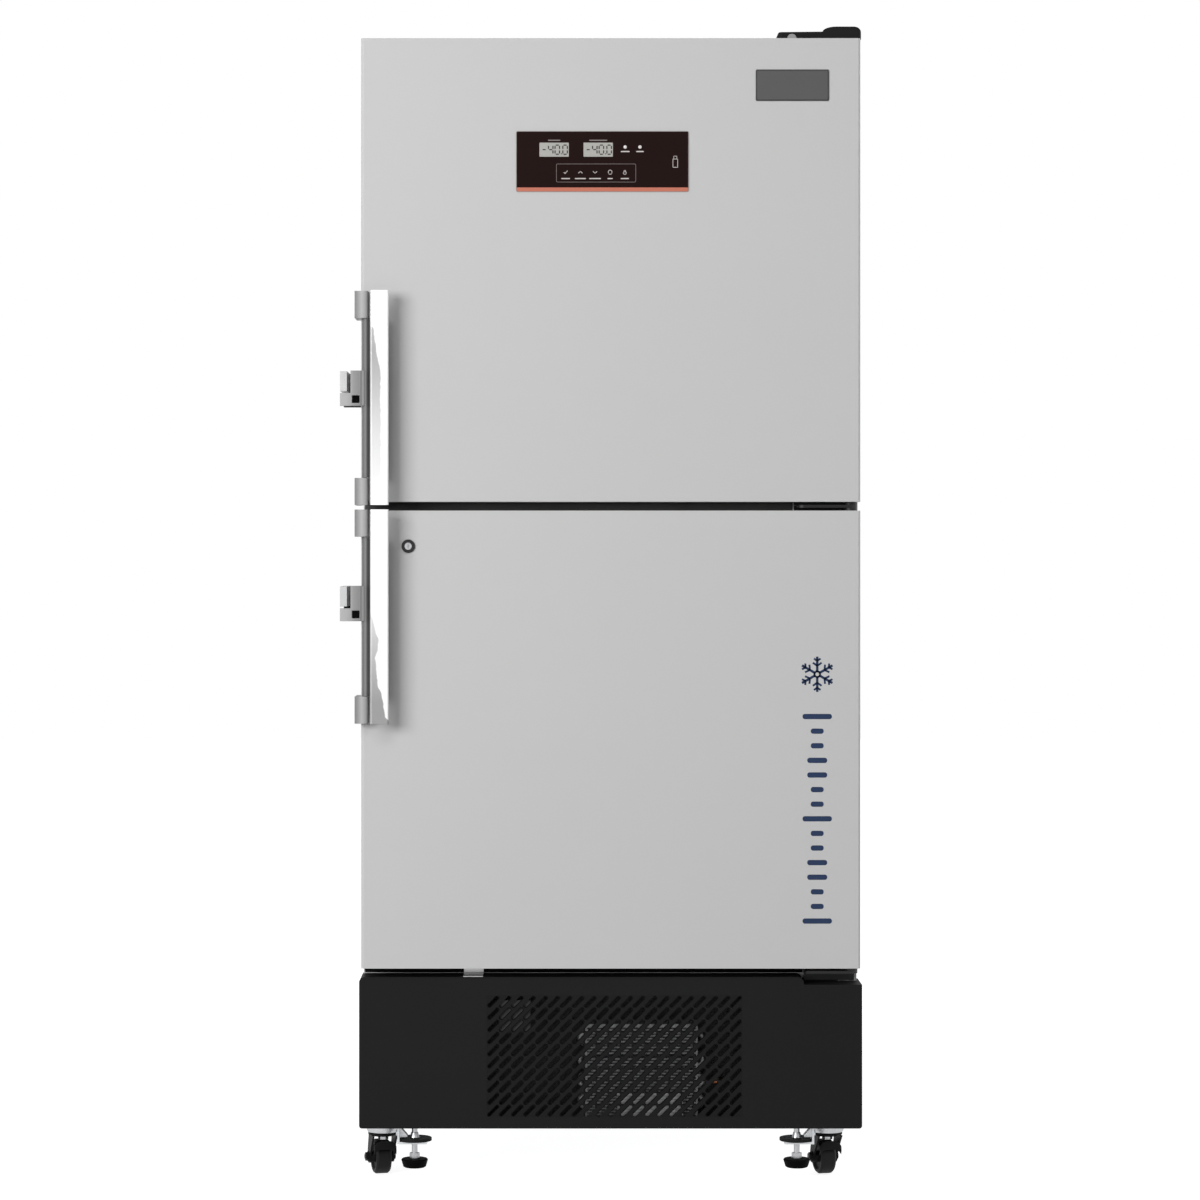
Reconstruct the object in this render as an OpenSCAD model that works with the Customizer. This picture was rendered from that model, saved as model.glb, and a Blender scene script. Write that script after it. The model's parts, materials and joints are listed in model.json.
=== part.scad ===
// Upright two-door biomedical freezer on swivel casters.
// The left side has the two pry handles, the right side has the door hinges.
// Local layout: X = 0 is the middle of the cabinet, Y = 0 is its front face
// with the doors towards -Y, and Z = 0 is the floor. Each part is then moved
// by placed(), so that the origin is at the middle of the whole footprint.

/* [Cabinet] */
// Width of the cabinet and of both doors
cab_w = 850; // [720:1:1020]
// Depth of the insulated cabinet behind the doors
cab_d = 720; // [600:1:860]
// Thickness of the side, rear and lower insulated walls
wall = 80; // [60:1:100]
// Thickness of the insulated roof
roof_wall = 87.5; // [60:0.5:110]
// Height of the insulated beam between the two cavities
mullion_h = 104; // [85:1:130]
// Clear height of the upper cavity
upper_cav_h = 660; // [500:1:800]
// Clear height of the lower cavity
lower_cav_h = 666; // [500:1:800]
// Thickness of the outer sheet metal
skin_t = 1; // [0.6:0.1:2]
// Thickness of the inner liners
liner_t = 1.5; // [1:0.1:3]

/* [Doors] */
// Thickness of a door from its front face to its rear face
door_t = 70; // [55:1:90]
// Space between a door's rear face and the cabinet, which the gasket fills
seal_gap = 12; // [9:0.5:16]
// Height of the gap between the two doors
door_split = 15; // [12:0.5:22]
// Space between the upper door and the top of the cabinet
door_top_gap = 3; // [1:0.5:5]
// Space between the lower door and the underside of the cabinet
door_low_gap = 11; // [9:1:14]
// Radius of the upright front edges of a door
door_edge_r = 5; // [2:0.5:10]
// Thickness of the end caps that close a door
cap_t = 18; // [16:1:26]
// Clearance round the raised door liner where it enters the cavity
plug_clear = 14; // [10:1:25]
// Distance that the raised door liner reaches into the cavity
plug_reach = 20; // [8:1:30]
// Width of the gasket
gasket_w = 16; // [10:1:22]
// Distance from the door's sides to the gasket
gasket_in = 25; // [18:1:32]
// Distance from the door's ends to the gasket
gasket_end = 14; // [8:1:20]

/* [Hinges] */
// Distance of the hinge axis from the cabinet's side
hinge_in = 14.5; // [12:0.5:18]
// Distance of the hinge axis in front of the cabinet
hinge_out = 50; // [40:1:58]
// Radius of the hinge pins
pin_r = 5; // [3.5:0.5:6]
// Radial clearance of the hinge and handle pins
pin_fit = 0.05; // [0.02:0.01:0.09]
// Length of hinge pin inside a door
pin_grip = 14; // [8:1:15]
// Width of the hinge plates
hinge_w = 103; // [80:1:130]
// Thickness of the hinge plates
hinge_t = 5; // [4:0.5:6]
// Thickness of the upright leg of a hinge plate
leg_t = 4; // [2:0.5:6]

/* [Handles] */
// Length of a handle
handle_len = 363; // [300:1:430]
// Radius of the handle's rod
rod_r = 4; // [3:0.5:5]
// Distance of the rod in from the door's side
rod_in = 6.5; // [4:0.5:7]
// Distance of the rod in front of the door
rod_out = 14; // [11:0.5:18]
// Width of the grip plate
grip_w = 31.4; // [24:0.1:40]
// Thickness of the grip plate
grip_t = 6; // [4:0.5:8]
// Distance from the rod to the near edge of the grip plate
grip_side = 11; // [9.5:0.5:15]
// Distance from the rod forward to the back of the grip plate
grip_fwd = 25; // [18:0.5:32]
// Thickness of the web between the rod and the grip plate
web_t = 5; // [3:0.5:7]
// Height of a handle bracket
bracket_h = 46; // [35:1:60]
// Distance that the upper handle hangs below the upper door
handle_over = 6; // [2:0.5:7]
// Space from the lower door's top to the lower handle, negative above it
handle_drop = -1.5; // [-4:0.5:10]

/* [Latches] */
// Thickness of a latch arm
arm_t = 6; // [4:0.5:8]
// Height of a latch arm
arm_h = 60; // [50:1:75]
// Height of the wide lower part of a latch arm
arm_low_h = 22; // [18:1:26]
// Side of the square padlock hole
padlock = 13; // [9:0.5:14]
// Reach of the latch arm beyond the rod
arm_reach = 41.5; // [34:0.5:48]
// Width of the keeper's nose
nose_w = 12; // [8:0.5:15]
// Height of the keeper's nose
nose_h = 34; // [26:1:40]
// Space between the keeper's nose and the latch arm
nose_gap = 6; // [4:0.5:8]
// Height of the upper latch arm's middle above its handle's middle
upper_latch_lift = 17; // [-40:1:60]
// Height of the lower latch arm's middle above its handle's middle
lower_latch_lift = 22; // [-40:1:60]

/* [Door fittings] */
// Width of the control panel
panel_w = 294; // [240:1:350]
// Height of the control panel
panel_h = 100.3; // [80:0.1:120]
// Middle of the control panel left of the door's middle
panel_left = 14.2; // [-40:0.1:60]
// Bottom of the control panel above the upper door's bottom
panel_up = 527; // [440:1:620]
// Thickness of the control panel overlay
panel_t = 0.8; // [0.4:0.1:2]
// Width of one of the two display windows
lcd_w = 51.5; // [42:0.5:60]
// Height of a display window
lcd_h = 24; // [18:0.5:30]
// Distance between the middles of the display windows
lcd_pitch = 75; // [64:0.5:85]
// Width of the name plate, which is bare
badge_w = 124.8; // [90:0.1:150]
// Height of the name plate
badge_h = 53.6; // [40:0.1:64]
// Distance from the door's right side to the name plate
badge_right = 53.6; // [40:0.1:80]
// Distance from the top of the door to the name plate
badge_down = 53.5; // [40:0.1:80]
// Outer radius of the lock barrel's rim
lock_r = 11.5; // [9.5:0.5:14]
// Radius of the lock plug, which turns
lock_plug_r = 6; // [4.5:0.1:7]
// Distance from the door's left side to the lock
lock_in = 80.3; // [70:0.1:95]
// Distance from the lower door's top to the lock
lock_down = 60.6; // [45:0.1:75]

/* [Base] */
// Height of the machine space under the insulated cabinet
base_h = 265; // [230:1:320]
// Thickness of the tray and of its posts
tray_t = 2; // [1.5:0.1:3]
// Distance that the front panel stands out on each side of the cabinet
panel_over = 4.5; // [4:0.1:7]
// Front face of the base panel in front of the cabinet
panel_out = 62; // [54:1:68]
// Wall thickness of the base front panel
panel_wall = 4; // [3:0.1:5]
// Radius of the base panel's upper corners
panel_r = 9; // [4:0.5:16]
// Width of the pocket for the lower hinge
pocket_w = 94; // [80:1:110]
// Depth of the pocket for the lower hinge
pocket_h = 13; // [10:1:18]
// Columns of vent slots
vent_cols = 21; // [12:1:24]
// Rows of vent slots
vent_rows = 10; // [6:1:11]
// Spacing of the vent slots
vent_pitch = 20.75; // [17:0.05:22]
// Distance of the grille's middle to the right of the cabinet's middle
vent_right = 6.7; // [-20:0.1:20]
// Distance from the base panel's lower edge to the grille
vent_up = 19.8; // [14:0.1:24]

/* [Casters and feet] */
// Radius of a caster wheel
wheel_r = 30; // [24:0.5:34]
// Width of a caster wheel
wheel_w = 27; // [20:0.5:30]
// Radius of a caster's axle
axle_r = 4; // [3:0.5:6]
// Height of a caster's fork above its axle
fork_rise = 44; // [38:0.5:55]
// Outside width of a caster's fork
fork_w = 44; // [41:0.5:52]
// Thickness of a fork leg
fork_t = 3; // [2:0.5:3.5]
// Distance of the wheel's axle behind the swivel axis
trail = 18; // [12:0.5:22]
// Angle that the casters are turned to the left at rest
caster_turn = 15; // [0:1:40]
// Side of a caster's square top plate
plate_w = 60; // [52:1:64]
// Thickness of a caster's top plate
plate_t = 3; // [2:0.5:5]
// Height of the pressed bearing dish under the top plate
dish_h = 17.5; // [10:0.5:25]
// Distance of the swivel axes in from the cabinet's sides
caster_in = 40; // [39:1:55]
// Distance that the casters and feet sit to the left of the cabinet's middle
under_left = 8; // [-8:1:8]
// Distance of the front swivel axes behind the cabinet's front face
caster_y = 33; // [28:1:50]
// Distance of the rear swivel axes from the cabinet's rear
caster_rear = 55; // [50:1:90]
// Distance of the levelling feet in from the cabinet's sides
foot_in = 97; // [93:1:125]
// Distance of the levelling feet in front of the cabinet
foot_y = 27; // [18:1:34]
// Radius of a foot pad at its top
pad_r = 23; // [16:0.5:25]
// Height of a foot pad's underside above the floor at rest
foot_lift = 24; // [14:1:30]
// Radius of a foot's threaded stud
stud_r = 5; // [4:0.5:6]
// Radius of the lock nut's hand disc
disc_r = 29.5; // [22:0.5:30]

/* [Inside] */
// Number of shelves in each cavity
shelves = 3; // [2:1:5]
// Thickness of a shelf plate
shelf_t = 2; // [1:0.5:4]
// Radius of the evaporator tube under a shelf
evap_r = 4; // [3:0.5:6]
// Runs of evaporator tube under a shelf
evap_runs = 8; // [4:1:10]
// Radius of the compressor
comp_r = 85; // [70:1:100]
// Height of the compressor's body
comp_h = 165; // [140:1:190]
// Width of the condenser
cond_w = 193; // [160:1:230]
// Height of the condenser
cond_h = 164; // [140:1:185]
// Depth of the condenser
cond_d = 50; // [35:1:60]
// Spacing of the condenser's fins
fin_pitch = 5; // [4:0.5:10]
// Radius of the condenser fan
fan_r = 68; // [50:1:70]

/* [Hidden] */
$fn = 48;

// Levels, from the floor up
touch = 0.2;
cut = 1;
swivel_gap = 0.5;
fork_top = wheel_r + fork_rise;
tray_low = fork_top + swivel_gap + dish_h + plate_t;
tray_top = tray_low + tray_t;
body_low = tray_low + base_h;
lower_low = body_low + wall;
lower_top = lower_low + lower_cav_h;
upper_low = lower_top + mullion_h;
upper_top = upper_low + upper_cav_h;
cab_top = upper_top + roof_wall;
mid_z = (lower_top + upper_low) / 2;
upper_door_low = mid_z + door_split / 2;
upper_door_top = cab_top - door_top_gap;
lower_door_low = body_low + door_low_gap;
lower_door_top = mid_z - door_split / 2;

// Plan of the cabinet and doors
half = cab_w / 2;
cav_half = half - wall;
cav_back = cab_d - wall;
door_back = -seal_gap;
door_front = door_back - door_t;
hinge_x = half - hinge_in;
hinge_y = -hinge_out;
caster_x = half - caster_in;
foot_x = half - foot_in;

// Handles
rod_x = -half + rod_in;
rod_y = door_front - rod_out;
grip_front = rod_y - grip_fwd - grip_t;
upper_handle_low = upper_door_low - handle_over;
upper_handle_mid = upper_handle_low + handle_len / 2;
lower_handle_low = lower_door_top - handle_drop - handle_len;
lower_handle_mid = lower_handle_low + handle_len / 2;
upper_arm_low = upper_handle_mid + upper_latch_lift - arm_h / 2;
lower_arm_low = lower_handle_mid + lower_latch_lift - arm_h / 2;
arm_left = rod_x - arm_reach;
nose_low = arm_low_h + nose_gap / 2;
collar_r = rod_r + 3.5;
bracket_wall = 2.5;
bracket_leg = 8 + rod_in - 5;

// The whole footprint
origin_x = (half + panel_over + arm_left) / 2;
origin_y = (grip_front + cab_d) / 2;

// Base
panel_low = tray_low + 0.5;
panel_high = body_low - 6;
frame_drop = 14;
panel_half = half + panel_over;
panel_y = -panel_out;
vent_w = vent_cols * vent_pitch;
vent_h = vent_rows * vent_pitch;
vent_low = panel_low + vent_up;
tray_front = panel_y + panel_wall + 8;

module placed() translate([-origin_x, -origin_y, 0]) children();

// A box between two opposite corners
module block(low, high) translate(low) cube(high - low);

// Children on the right and mirrored on the left of the cabinet's middle
module both_sides() {
    children();
    mirror([1, 0, 0]) children();
}

// A round bar along X, Y or Z from a point
module bar_x(at, r, len) translate(at) rotate([0, 90, 0]) cylinder(r = r, h = len);
module bar_y(at, r, len) translate(at) rotate([-90, 0, 0]) cylinder(r = r, h = len);
module bar_z(at, r, len) translate(at) cylinder(r = r, h = len);

// Plan of a door shell whose two front corners are round
module door_plan(inset, back) {
    w = half - inset;
    front = door_front + inset;
    r = max(door_edge_r - inset, 0.5);
    translate([-w, front + r]) square([2 * w, back - front - r]);
    translate([-w + r, front]) square([2 * w - 2 * r, 2 * r]);
    for (side = [-1, 1]) translate([side * (w - r), front + r]) circle(r);
}

// Insulated cabinet
module cabinet_insulation() color("khaki") placed() {
    x1 = half - skin_t;
    x0 = cav_half + liner_t;
    y1 = cab_d - skin_t;
    y0 = cav_back + liner_t;
    low = body_low + skin_t;
    high = cab_top - skin_t;
    both_sides() block([x0 + touch, skin_t, low], [x1, y1, high]);
    block([-x0, y0 + touch, low], [x0, y1, high]);
    block([-x0, skin_t, upper_top + liner_t], [x0, y0, high]);
    block([-x0, skin_t, lower_top + liner_t], [x0, y0, upper_low - liner_t]);
    block([-x0, skin_t, low], [x0, y0, lower_low - liner_t]);
}

module outer_shell() color("gainsboro") placed() difference() {
    block([-half, skin_t, body_low], [half, cab_d - skin_t, cab_top]);
    block([-half + skin_t, 0, body_low + skin_t], [half - skin_t, cab_d, cab_top - skin_t]);
}

module back_panel() color("silver") placed()
    block([-half, cab_d - skin_t, body_low], [half, cab_d, cab_top]);

module front_frame() color("gainsboro") placed() difference() {
    block([-half, 0, body_low - frame_drop], [half, skin_t, cab_top]);
    block([-cav_half, -cut, lower_low], [cav_half, skin_t + cut, lower_top]);
    block([-cav_half, -cut, upper_low], [cav_half, skin_t + cut, upper_top]);
}

module cavity_liner(low, high) difference() {
    block([-cav_half - liner_t, skin_t, low - liner_t], [cav_half + liner_t, cav_back + liner_t, high + liner_t]);
    block([-cav_half, 0, low], [cav_half, cav_back, high]);
}

module upper_liner() color("whitesmoke") placed() cavity_liner(upper_low, upper_top);

module lower_liner() color("whitesmoke") placed() cavity_liner(lower_low, lower_top);

// Shelf plates with a folded front lip, on rails along both liner walls
rail_w = 16;
rail_t = 1.5;
shelf_front = plug_reach + 25;
shelf_back = cav_back - 25;
shelf_side = 2;
lip_h = 14;

module shelf_stack(low, height) for (i = [1 : shelves]) {
    z = low + height * i / (shelves + 1);
    difference() {
        union() {
            block([-cav_half + shelf_side, shelf_front, z], [cav_half - shelf_side, shelf_back, z + shelf_t]);
            block([-cav_half + rail_w + shelf_side, shelf_front, z - lip_h],
                [cav_half - rail_w - shelf_side, shelf_front + shelf_t, z + cut]);
        }
        for (x = [-5 : 5], y = [0 : 3])
            block([x * 50 - 3, shelf_front + 80 + y * 120, z - cut],
                [x * 50 + 3, shelf_front + 160 + y * 120, z + shelf_t + cut]);
    }
    both_sides() {
        block([cav_half - rail_t, shelf_front, z - rail_w], [cav_half, shelf_back, z]);
        block([cav_half - rail_w, shelf_front, z - rail_t], [cav_half - rail_t, shelf_back, z]);
    }
}

module upper_shelves() color("silver") placed() shelf_stack(upper_low, upper_cav_h);

module lower_shelves() color("silver") placed() shelf_stack(lower_low, lower_cav_h);

// One flat serpentine of tube: straight runs joined by half turns
module serpentine(runs, pitch, len, r) {
    for (i = [0 : runs - 1]) bar_x([-len / 2, i * pitch, 0], r, len);
    for (i = [0 : runs - 2]) {
        side = i % 2 == 0 ? 1 : -1;
        translate([side * len / 2, (i + 0.5) * pitch, 0]) rotate([0, 0, -side * 90])
            rotate_extrude(angle = 180) translate([pitch / 2, 0]) circle(r, $fn = 16);
    }
}

module evaporator_tubes() color("silver") placed() {
    pitch = (shelf_back - shelf_front - 80) / (evap_runs - 1);
    len = 2 * (cav_half - rail_w - 2 * shelf_side) - pitch - 2 * evap_r;
    for (low = [[lower_low, lower_cav_h], [upper_low, upper_cav_h]], i = [1 : shelves])
        translate([0, shelf_front + 40, low[0] + low[1] * i / (shelves + 1) - evap_r])
            serpentine(evap_runs, pitch, len, evap_r);
}

// Base tray with upturned sides and four corner posts
post_w = 30;
flange_h = 20;
side_t = 2;

module base_tray() color("darkgray") placed() {
    x1 = half - side_t;
    back = cab_d - side_t - touch;
    difference() {
        union() {
            block([-x1, tray_front, tray_low], [x1, back, tray_top]);
            both_sides() {
                block([x1 - tray_t, tray_front, tray_low], [x1, back, tray_top + flange_h]);
                for (y = [skin_t, back - post_w]) {
                    block([x1 - tray_t, y, tray_low], [x1, y + post_w, body_low]);
                    block([x1 - post_w, y == skin_t ? y : back - tray_t, tray_low],
                        [x1, y == skin_t ? y + tray_t : back, body_low]);
                }
            }
        }
        for (side = [-1, 1]) at_foot(side) bar_z([0, 0, tray_low - cut], stud_r + 3, tray_t + 2 * cut);
    }
}

module base_side_panels() color("gainsboro") placed() both_sides()
    block([half - side_t, skin_t, tray_low], [half, cab_d - side_t, body_low]);

// Moulded front panel: returns on both sides, a shelf on top, a pocket for the lower hinge
return_d = 30;
panel_low_r = 5;
module panel_outline() {
    translate([-panel_half, panel_low + panel_low_r])
        square([2 * panel_half, panel_high - panel_low - panel_low_r - panel_r]);
    translate([-panel_half + panel_r, panel_high - 2 * panel_r]) square([2 * (panel_half - panel_r), 2 * panel_r]);
    translate([-panel_half + panel_low_r, panel_low]) square([2 * (panel_half - panel_low_r), 2 * panel_low_r]);
    for (side = [-1, 1]) {
        translate([side * (panel_half - panel_r), panel_high - panel_r]) circle(panel_r);
        translate([side * (panel_half - panel_low_r), panel_low + panel_low_r]) circle(panel_low_r);
    }
}
pocket_slope = 9;
module base_front_panel() color([0.14, 0.14, 0.14]) placed() difference() {
    union() {
        difference() {
            translate([0, return_d, 0]) rotate([90, 0, 0]) linear_extrude(return_d - panel_y) panel_outline();
            block([-half - touch, panel_y + panel_wall, panel_low - cut],
                [half + touch, return_d + cut, panel_high - panel_wall]);
            block([-half - touch, -touch, panel_low - cut], [half + touch, return_d + cut, panel_high + cut]);
        }
        block([half + touch - pocket_w - pocket_slope - panel_wall, panel_y + cut, panel_high - pocket_h - panel_wall],
            [half + touch, -touch, panel_high - cut]);
    }
    translate([half - pocket_w, return_d + cut, panel_high - pocket_h]) rotate([90, 0, 0])
        linear_extrude(return_d - panel_y + 2 * cut) polygon([
            [0, 0], [pocket_w + panel_over + cut, 0], [pocket_w + panel_over + cut, pocket_h + cut],
            [-pocket_slope, pocket_h + cut], [-pocket_slope, pocket_h], [-pocket_slope / 2, pocket_h * 0.8],
            [-pocket_slope / 4, pocket_h * 0.6]
        ]);
    block([vent_right - vent_w / 2, panel_y - cut, vent_low],
        [vent_right + vent_w / 2, panel_y + panel_wall + cut, vent_low + vent_h]);
}

// Slanted slots with bevelled ends in a flat insert
slot_t = 6;
slot_half = vent_pitch / 2 + 2;
slot_bevel = 2;
module vent_slot() rotate(45) polygon([
    [-slot_half, -slot_t / 2 + slot_bevel], [-slot_half + slot_bevel, -slot_t / 2],
    [slot_half - slot_bevel, -slot_t / 2], [slot_half, -slot_t / 2 + slot_bevel],
    [slot_half, slot_t / 2 - slot_bevel], [slot_half - slot_bevel, slot_t / 2],
    [-slot_half + slot_bevel, slot_t / 2], [-slot_half, slot_t / 2 - slot_bevel]
]);

module vent_grille() color([0.13, 0.13, 0.13]) placed()
    translate([vent_right, panel_y + panel_wall, vent_low + vent_h / 2]) rotate([90, 0, 0])
        linear_extrude(panel_wall - 0.4) difference() {
            square([vent_w, vent_h], center = true);
            for (c = [0 : vent_cols - 1], r = [0 : vent_rows - 1])
                translate([(c - (vent_cols - 1) / 2) * vent_pitch, (r - (vent_rows - 1) / 2) * vent_pitch])
                    vent_slot();
        }

// Rear cover of the machine space with upright slots and a window for the power inlet
inlet_x = -250;
inlet_w = 50;
inlet_h = 30;
inlet_z = tray_top + 60;
module rear_vent_cover() color("silver") placed() difference() {
    block([-half + side_t, cab_d - side_t, tray_low], [half - side_t, cab_d, body_low]);
    for (i = [-9 : 9]) translate([60 + i * 26, 0, 0])
        block([-4, cab_d - side_t - cut, tray_top + 50], [4, cab_d + cut, body_low - 60]);
    block([inlet_x - inlet_w / 2, cab_d - side_t - cut, inlet_z - inlet_h / 2],
        [inlet_x + inlet_w / 2, cab_d + cut, inlet_z + inlet_h / 2]);
}

// Compressor can with its weld rim, on a foot plate and four rubber mounts
comp_x = 190;
comp_y = cab_d - 190;
mount_h = 18;
comp_z = tray_top + mount_h + 3;
module compressor() color([0.12, 0.12, 0.12]) placed() translate([comp_x, comp_y, 0]) {
    for (x = [-1, 1], y = [-1, 1])
        bar_z([x * comp_r * 0.8, y * comp_r * 0.8, tray_top], 12, mount_h);
    block([-comp_r, -comp_r, tray_top + mount_h], [comp_r, comp_r, comp_z]);
    translate([0, 0, comp_z]) rotate_extrude() polygon([
        [0, 0], [comp_r - 25, 0], [comp_r - 8, 18], [comp_r, comp_h * 0.4], [comp_r + 5, comp_h * 0.4],
        [comp_r + 5, comp_h * 0.4 + 6], [comp_r, comp_h * 0.4 + 6], [comp_r - 6, comp_h - 35],
        [comp_r - 30, comp_h - 8], [0, comp_h]
    ]);
    block([comp_r - 12, -22, comp_z + 55], [comp_r + 22, 22, comp_z + 110]);
}

// Finned condenser with hairpin tubes at both ends, behind the grille
cond_x = vent_right + 47;
cond_y = -25;
cond_low = tray_top + 8;
cond_foot = 8;
cond_tube_r = 4.5;
module condenser() color("darkgray") placed() {
    x0 = cond_x - cond_w / 2;
    x1 = cond_x + cond_w / 2;
    difference() {
        block([x0, cond_y, cond_low], [x1, cond_y + cond_d, cond_low + cond_h]);
        for (z = [cond_low + fin_pitch : fin_pitch : cond_low + cond_h - fin_pitch])
            block([x0 + 3, cond_y - cut, z], [x1 - 3, cond_y + cond_d / 3, z + fin_pitch * 0.6]);
    }
    both_sides_of(cond_x) for (z = [cond_low + 20 : 36 : cond_low + cond_h - 36], y = [0.3, 0.7])
        translate([x1, cond_y + cond_d * y, z + 9]) rotate([90, 0, 0]) rotate([0, 0, -90])
            rotate_extrude(angle = 180) translate([9, 0]) circle(cond_tube_r, $fn = 16);
    for (x = [x0 + 10, x1 - 30])
        block([x, cond_y + 5, tray_top], [x + 20, cond_y + cond_d - 5, cond_low]);
}
module both_sides_of(x) {
    children();
    translate([x, 0, 0]) mirror([1, 0, 0]) translate([-x, 0, 0]) children();
}

// Wall across the machine space with the fan's round mouth, and the motor on its cross bar
shroud_y = cond_y + cond_d + 12;
shroud_t = 2;
fan_z = cond_low + cond_h / 2;
motor_r = 26;
motor_y = shroud_y + 44;
pipe_r = 4;
discharge_x = cond_x + cond_w / 2 + 40;
discharge_z = cond_low + 60;
module fan_shroud() color("dimgray") placed() {
    wall_x = half - side_t - tray_t - 1;
    difference() {
        union() {
            block([-wall_x, shroud_y, tray_top], [wall_x, shroud_y + shroud_t, body_low]);
            both_sides_of(cond_x) block([cond_x + cond_w / 2 - shroud_t, cond_y + cond_d, tray_top],
                [cond_x + cond_w / 2, motor_y + 30, cond_low + cond_h]);
        }
        bar_y([cond_x, shroud_y - cut, fan_z], fan_r + 5, shroud_t + 2 * cut);
        bar_y([discharge_x, shroud_y - cut, discharge_z], pipe_r + 4, shroud_t + 2 * cut);
    }
    difference() {
        bar_y([cond_x, motor_y, fan_z], motor_r, 40);
        bar_y([cond_x, motor_y - cut, fan_z], 3 + pin_fit, 25);
    }
    for (side = [-1, 1])
        block([min(side * (cond_w / 2 - shroud_t), side * (motor_r - 2)) + cond_x, motor_y + 16, fan_z - 6],
            [max(side * (cond_w / 2 - shroud_t), side * (motor_r - 2)) + cond_x, motor_y + 22, fan_z + 6]);
}

// Fan wheel with pitched blades on its shaft
blades = 5;
module fan_blade() color("black") placed() translate([cond_x, 0, fan_z]) {
    hub_y = shroud_y + 6;
    bar_y([0, hub_y, 0], 18, 26);
    bar_y([0, hub_y + 26 - cut, 0], 3, motor_y + 20 - hub_y - 26);
    for (i = [0 : blades - 1]) rotate([0, i * 360 / blades, 0])
        translate([15, hub_y + 13, 0]) rotate([28, 0, 0]) block([0, -1, -16], [fan_r - 18, 1, 16]);
}

// Copper pipe along a list of points, with a brazed ball elbow at each corner
module pipe(points, r) {
    for (i = [0 : len(points) - 2]) {
        a = points[i];
        b = points[i + 1];
        d = b - a;
        l = norm(d);
        translate(a) rotate([0, acos(d[2] / l), atan2(d[1], d[0])]) cylinder(r = r, h = l, $fn = 24);
    }
    for (i = [1 : len(points) - 2]) translate(points[i]) sphere(r = r + 0.7, $fn = 24);
}

// Discharge and liquid lines, with the filter dryer in the liquid line
module refrigerant_pipes() color("peru") placed() {
    dryer_y = comp_y - comp_r - 90;
    inlet_y = cond_y + cond_d * 0.7;
    out_y = comp_y - comp_r - 30;
    pipe([[comp_x - 40, comp_y - comp_r + 8, comp_z + 40], [comp_x - 40, out_y, comp_z + 40],
        [discharge_x, out_y, comp_z + 40], [discharge_x, inlet_y, discharge_z],
        [cond_x + cond_w / 2 + cond_tube_r + 9, inlet_y, discharge_z]], pipe_r);
    pipe([[cond_x - 60, dryer_y - 180, tray_top + 30], [cond_x - 60, dryer_y - 50, tray_top + 30]], pipe_r);
    bar_y([cond_x - 60, dryer_y - 50, tray_top + 30], 14, 110);
    pipe([[cond_x - 60, dryer_y + 60, tray_top + 30], [cond_x - 60, comp_y, tray_top + 30],
        [cond_x - 60, comp_y, body_low]], pipe_r);
    block([cond_x - 70, dryer_y, tray_top], [cond_x - 50, dryer_y + 8, tray_top + 17]);
}

// Relay box with the power inlet in the rear cover
module electrical_box() color("gainsboro") placed() {
    back = cab_d - side_t - touch;
    difference() {
        block([inlet_x - 80, back - 150, tray_top], [inlet_x + 80, back - 30, tray_top + 120]);
        block([inlet_x - 70, back - 160, tray_top + 100], [inlet_x + 70, back - 20, tray_top + 104]);
    }
    difference() {
        block([inlet_x - inlet_w / 2 + touch, back - 30, inlet_z - inlet_h / 2 + touch],
            [inlet_x + inlet_w / 2 - touch, cab_d, inlet_z + inlet_h / 2 - touch]);
        block([inlet_x - inlet_w / 2 + 4, cab_d - 20, inlet_z - inlet_h / 2 + 4],
            [inlet_x + inlet_w / 2 - 4, cab_d + cut, inlet_z + inlet_h / 2 - 4]);
    }
    for (x = [-12, 0, 12])
        block([inlet_x + x - 1, cab_d - 20 - cut, inlet_z - 3], [inlet_x + x + 1, cab_d - 4, inlet_z + 3]);
}

// Casters
CASTERS = [[-1, caster_y], [1, caster_y], [-1, cab_d - caster_rear], [1, cab_d - caster_rear]];
king_r = 6;
king_len = 12;
crown_t = 5;
crown_r = 26;
leg_top = 18;
leg_end_r = 11;
hub_r = 10;
module at_caster(i) translate([CASTERS[i][0] * caster_x - under_left, CASTERS[i][1], 0]) children();
module turned_caster(i) placed() at_caster(i) rotate(caster_turn) children();

// Fixed plate with its bearing dish, the king pin and its nut
module caster_plates() color("silver") placed() for (i = [0 : 3]) at_caster(i) {
    block([-plate_w / 2, -plate_w / 2, tray_low - plate_t], [plate_w / 2, plate_w / 2, tray_low]);
    translate([0, 0, fork_top + swivel_gap]) rotate_extrude() polygon([
        [0, 0], [crown_r - 2, 0], [crown_r + 1, 1.5], [plate_w / 2 - 1, 6], [plate_w / 2 - 1, dish_h], [0, dish_h]
    ]);
    bar_z([0, 0, fork_top - king_len], king_r, king_len + swivel_gap + cut);
    translate([0, 0, fork_top - king_len]) cylinder(r = king_r + 3, h = 6, $fn = 6);
}

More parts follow.
